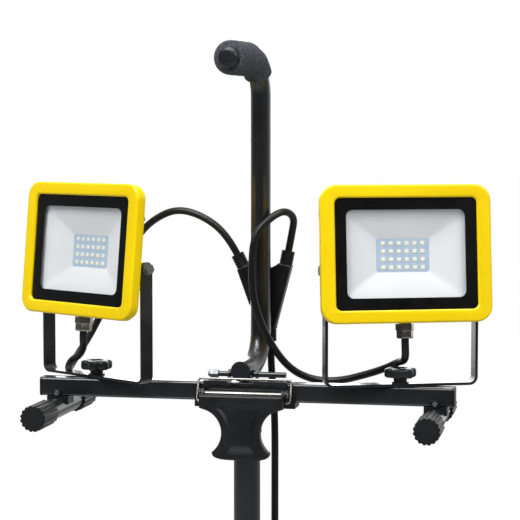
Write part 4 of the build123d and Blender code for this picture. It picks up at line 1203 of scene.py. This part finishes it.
plate = closed_sheet(
    lever_rows(lambda x, z: lever_front + front_depth(x, z)), lever_rows(lambda x, z: lever_back)
)
knuckles = merged_node("latch_lever")
cut = bmesh.ops.bisect_plane(
    knuckles,
    geom=knuckles.verts[:] + knuckles.edges[:] + knuckles.faces[:],
    plane_co=(0, (lever_back + 0.01) * mm, 0),
    plane_no=(0, 1, 0),
    clear_inner=True,
)
cut_edges = [item for item in cut["geom_cut"] if isinstance(item, bmesh.types.BMEdge)]
bmesh.ops.holes_fill(knuckles, edges=cut_edges, sides=0)
knuckles.transform(Matrix.Diagonal((1 / mm, 1 / mm, 1 / mm, 1)))
to_lever = Matrix.Translation((0, 0, -bar_height))
lever_mesh = joined([(plate, Matrix.Identity(4)), (mesh_of(knuckles), to_lever)])
place, finish = moved(0, 0, bar_height), finishes["black_plastic"]
lever_piece = write_piece("latch_lever_plate", lever_mesh, place, finish, "lever", sharp=40)
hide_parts("latch_lever")
print("lever", len(lever_piece.data.polygons), "faces")

# %% [markdown]
# ## The foam grip
# A foam sleeve pulled over the handle's bend: thin round the bend and thicker along the part
# that the hand holds. Its ends are eased and its surface is faintly uneven.

# %% Foam grip
grip_line = spline_line(
    [(0, 46.1, 333.8), (0, 38.0, 345.4)] + [(0, y, 350) for y in (25.0, 8.0, -12.0, -36.0)],
    handle_place,
    24,
)
grip_length = line_length(grip_line) / mm
thin_grip, grip_swell, end_round = 15.0, 3.0, 2.5
print("grip line", round(grip_length, 1), "mm")


def grip_radius(share):
    along = share * grip_length
    uneven = 0.10 * sin(share * 31) + 0.06 * sin(share * 67 + 1)
    body = thin_grip + grip_swell * smooth((along - 30.0) / 10.0) + uneven
    return (body - edge_fall(min(along, grip_length - along), end_round)) * mm


grip_mesh = tube_mesh(grip_line, grip_radius, 48)
foam_grip = finish_piece("foam_grip", grip_mesh, finishes["grey_foam"], "mast_head", sharp=60)
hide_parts("handle_grip")

# %% [markdown]
# ## Splitter ribs
# The splitter's three reliefs are ribbed so that they bend with the lead. Each set is a row of one
# small ring.

# %% Rows of ribs


def rib_ring(radius, width):
    """Rounded band about the X axis."""
    rings = []
    for x, rise in ((-0.5, 0.0), (-0.35, 0.7), (0.0, 1.0), (0.35, 0.7), (0.5, 0.0)):
        r = radius + rise * 0.55
        rings.append([(x * width, r * c, r * s) for c, s in round_steps(28)])
    return lofted(rings)


rib_width, rib_row, rubber = 1.6, {"Count": 5, "Pitch": 2.7}, finishes["lead_rubber"]
for seat, radius in (("left", 6.9), ("right", 7.0), ("foot", 6.0)):
    ribs = repeated(rib_ring(radius, rib_width), "row", rib_row, rubber)
    turn = seat_axis(seat).to_track_quat("X", "Z").to_matrix().to_4x4()
    ribs.transform(Matrix.Translation(near_seat(seat, rib_width)) @ turn)
    piece = write_piece(f"splitter_ribs_{seat}", ribs, bar_place, rubber, "mast_head")
print("ribs done")

# %% [markdown]
# ## Mast and tripod
# Plain coated tube with plastic hub and collar and rubber feet, in the same finishes.

# %% Stand
stand_corners = {"mast_base": 0.0, "mast_top": 0.0, "mast_bush": 0.3, "mast_collar": 0.4}
stand_corners |= {"leg_hub": 0.5, "hub_pins": 0.3}
for part, corner in (("tube", 0.0), ("foot", 0.5)):
    stand_corners |= {f"leg_{part}_{way}": corner for way in ("front", "left", "right")}
for node, corner in stand_corners.items():
    refined(node, corner)
print("stand done")
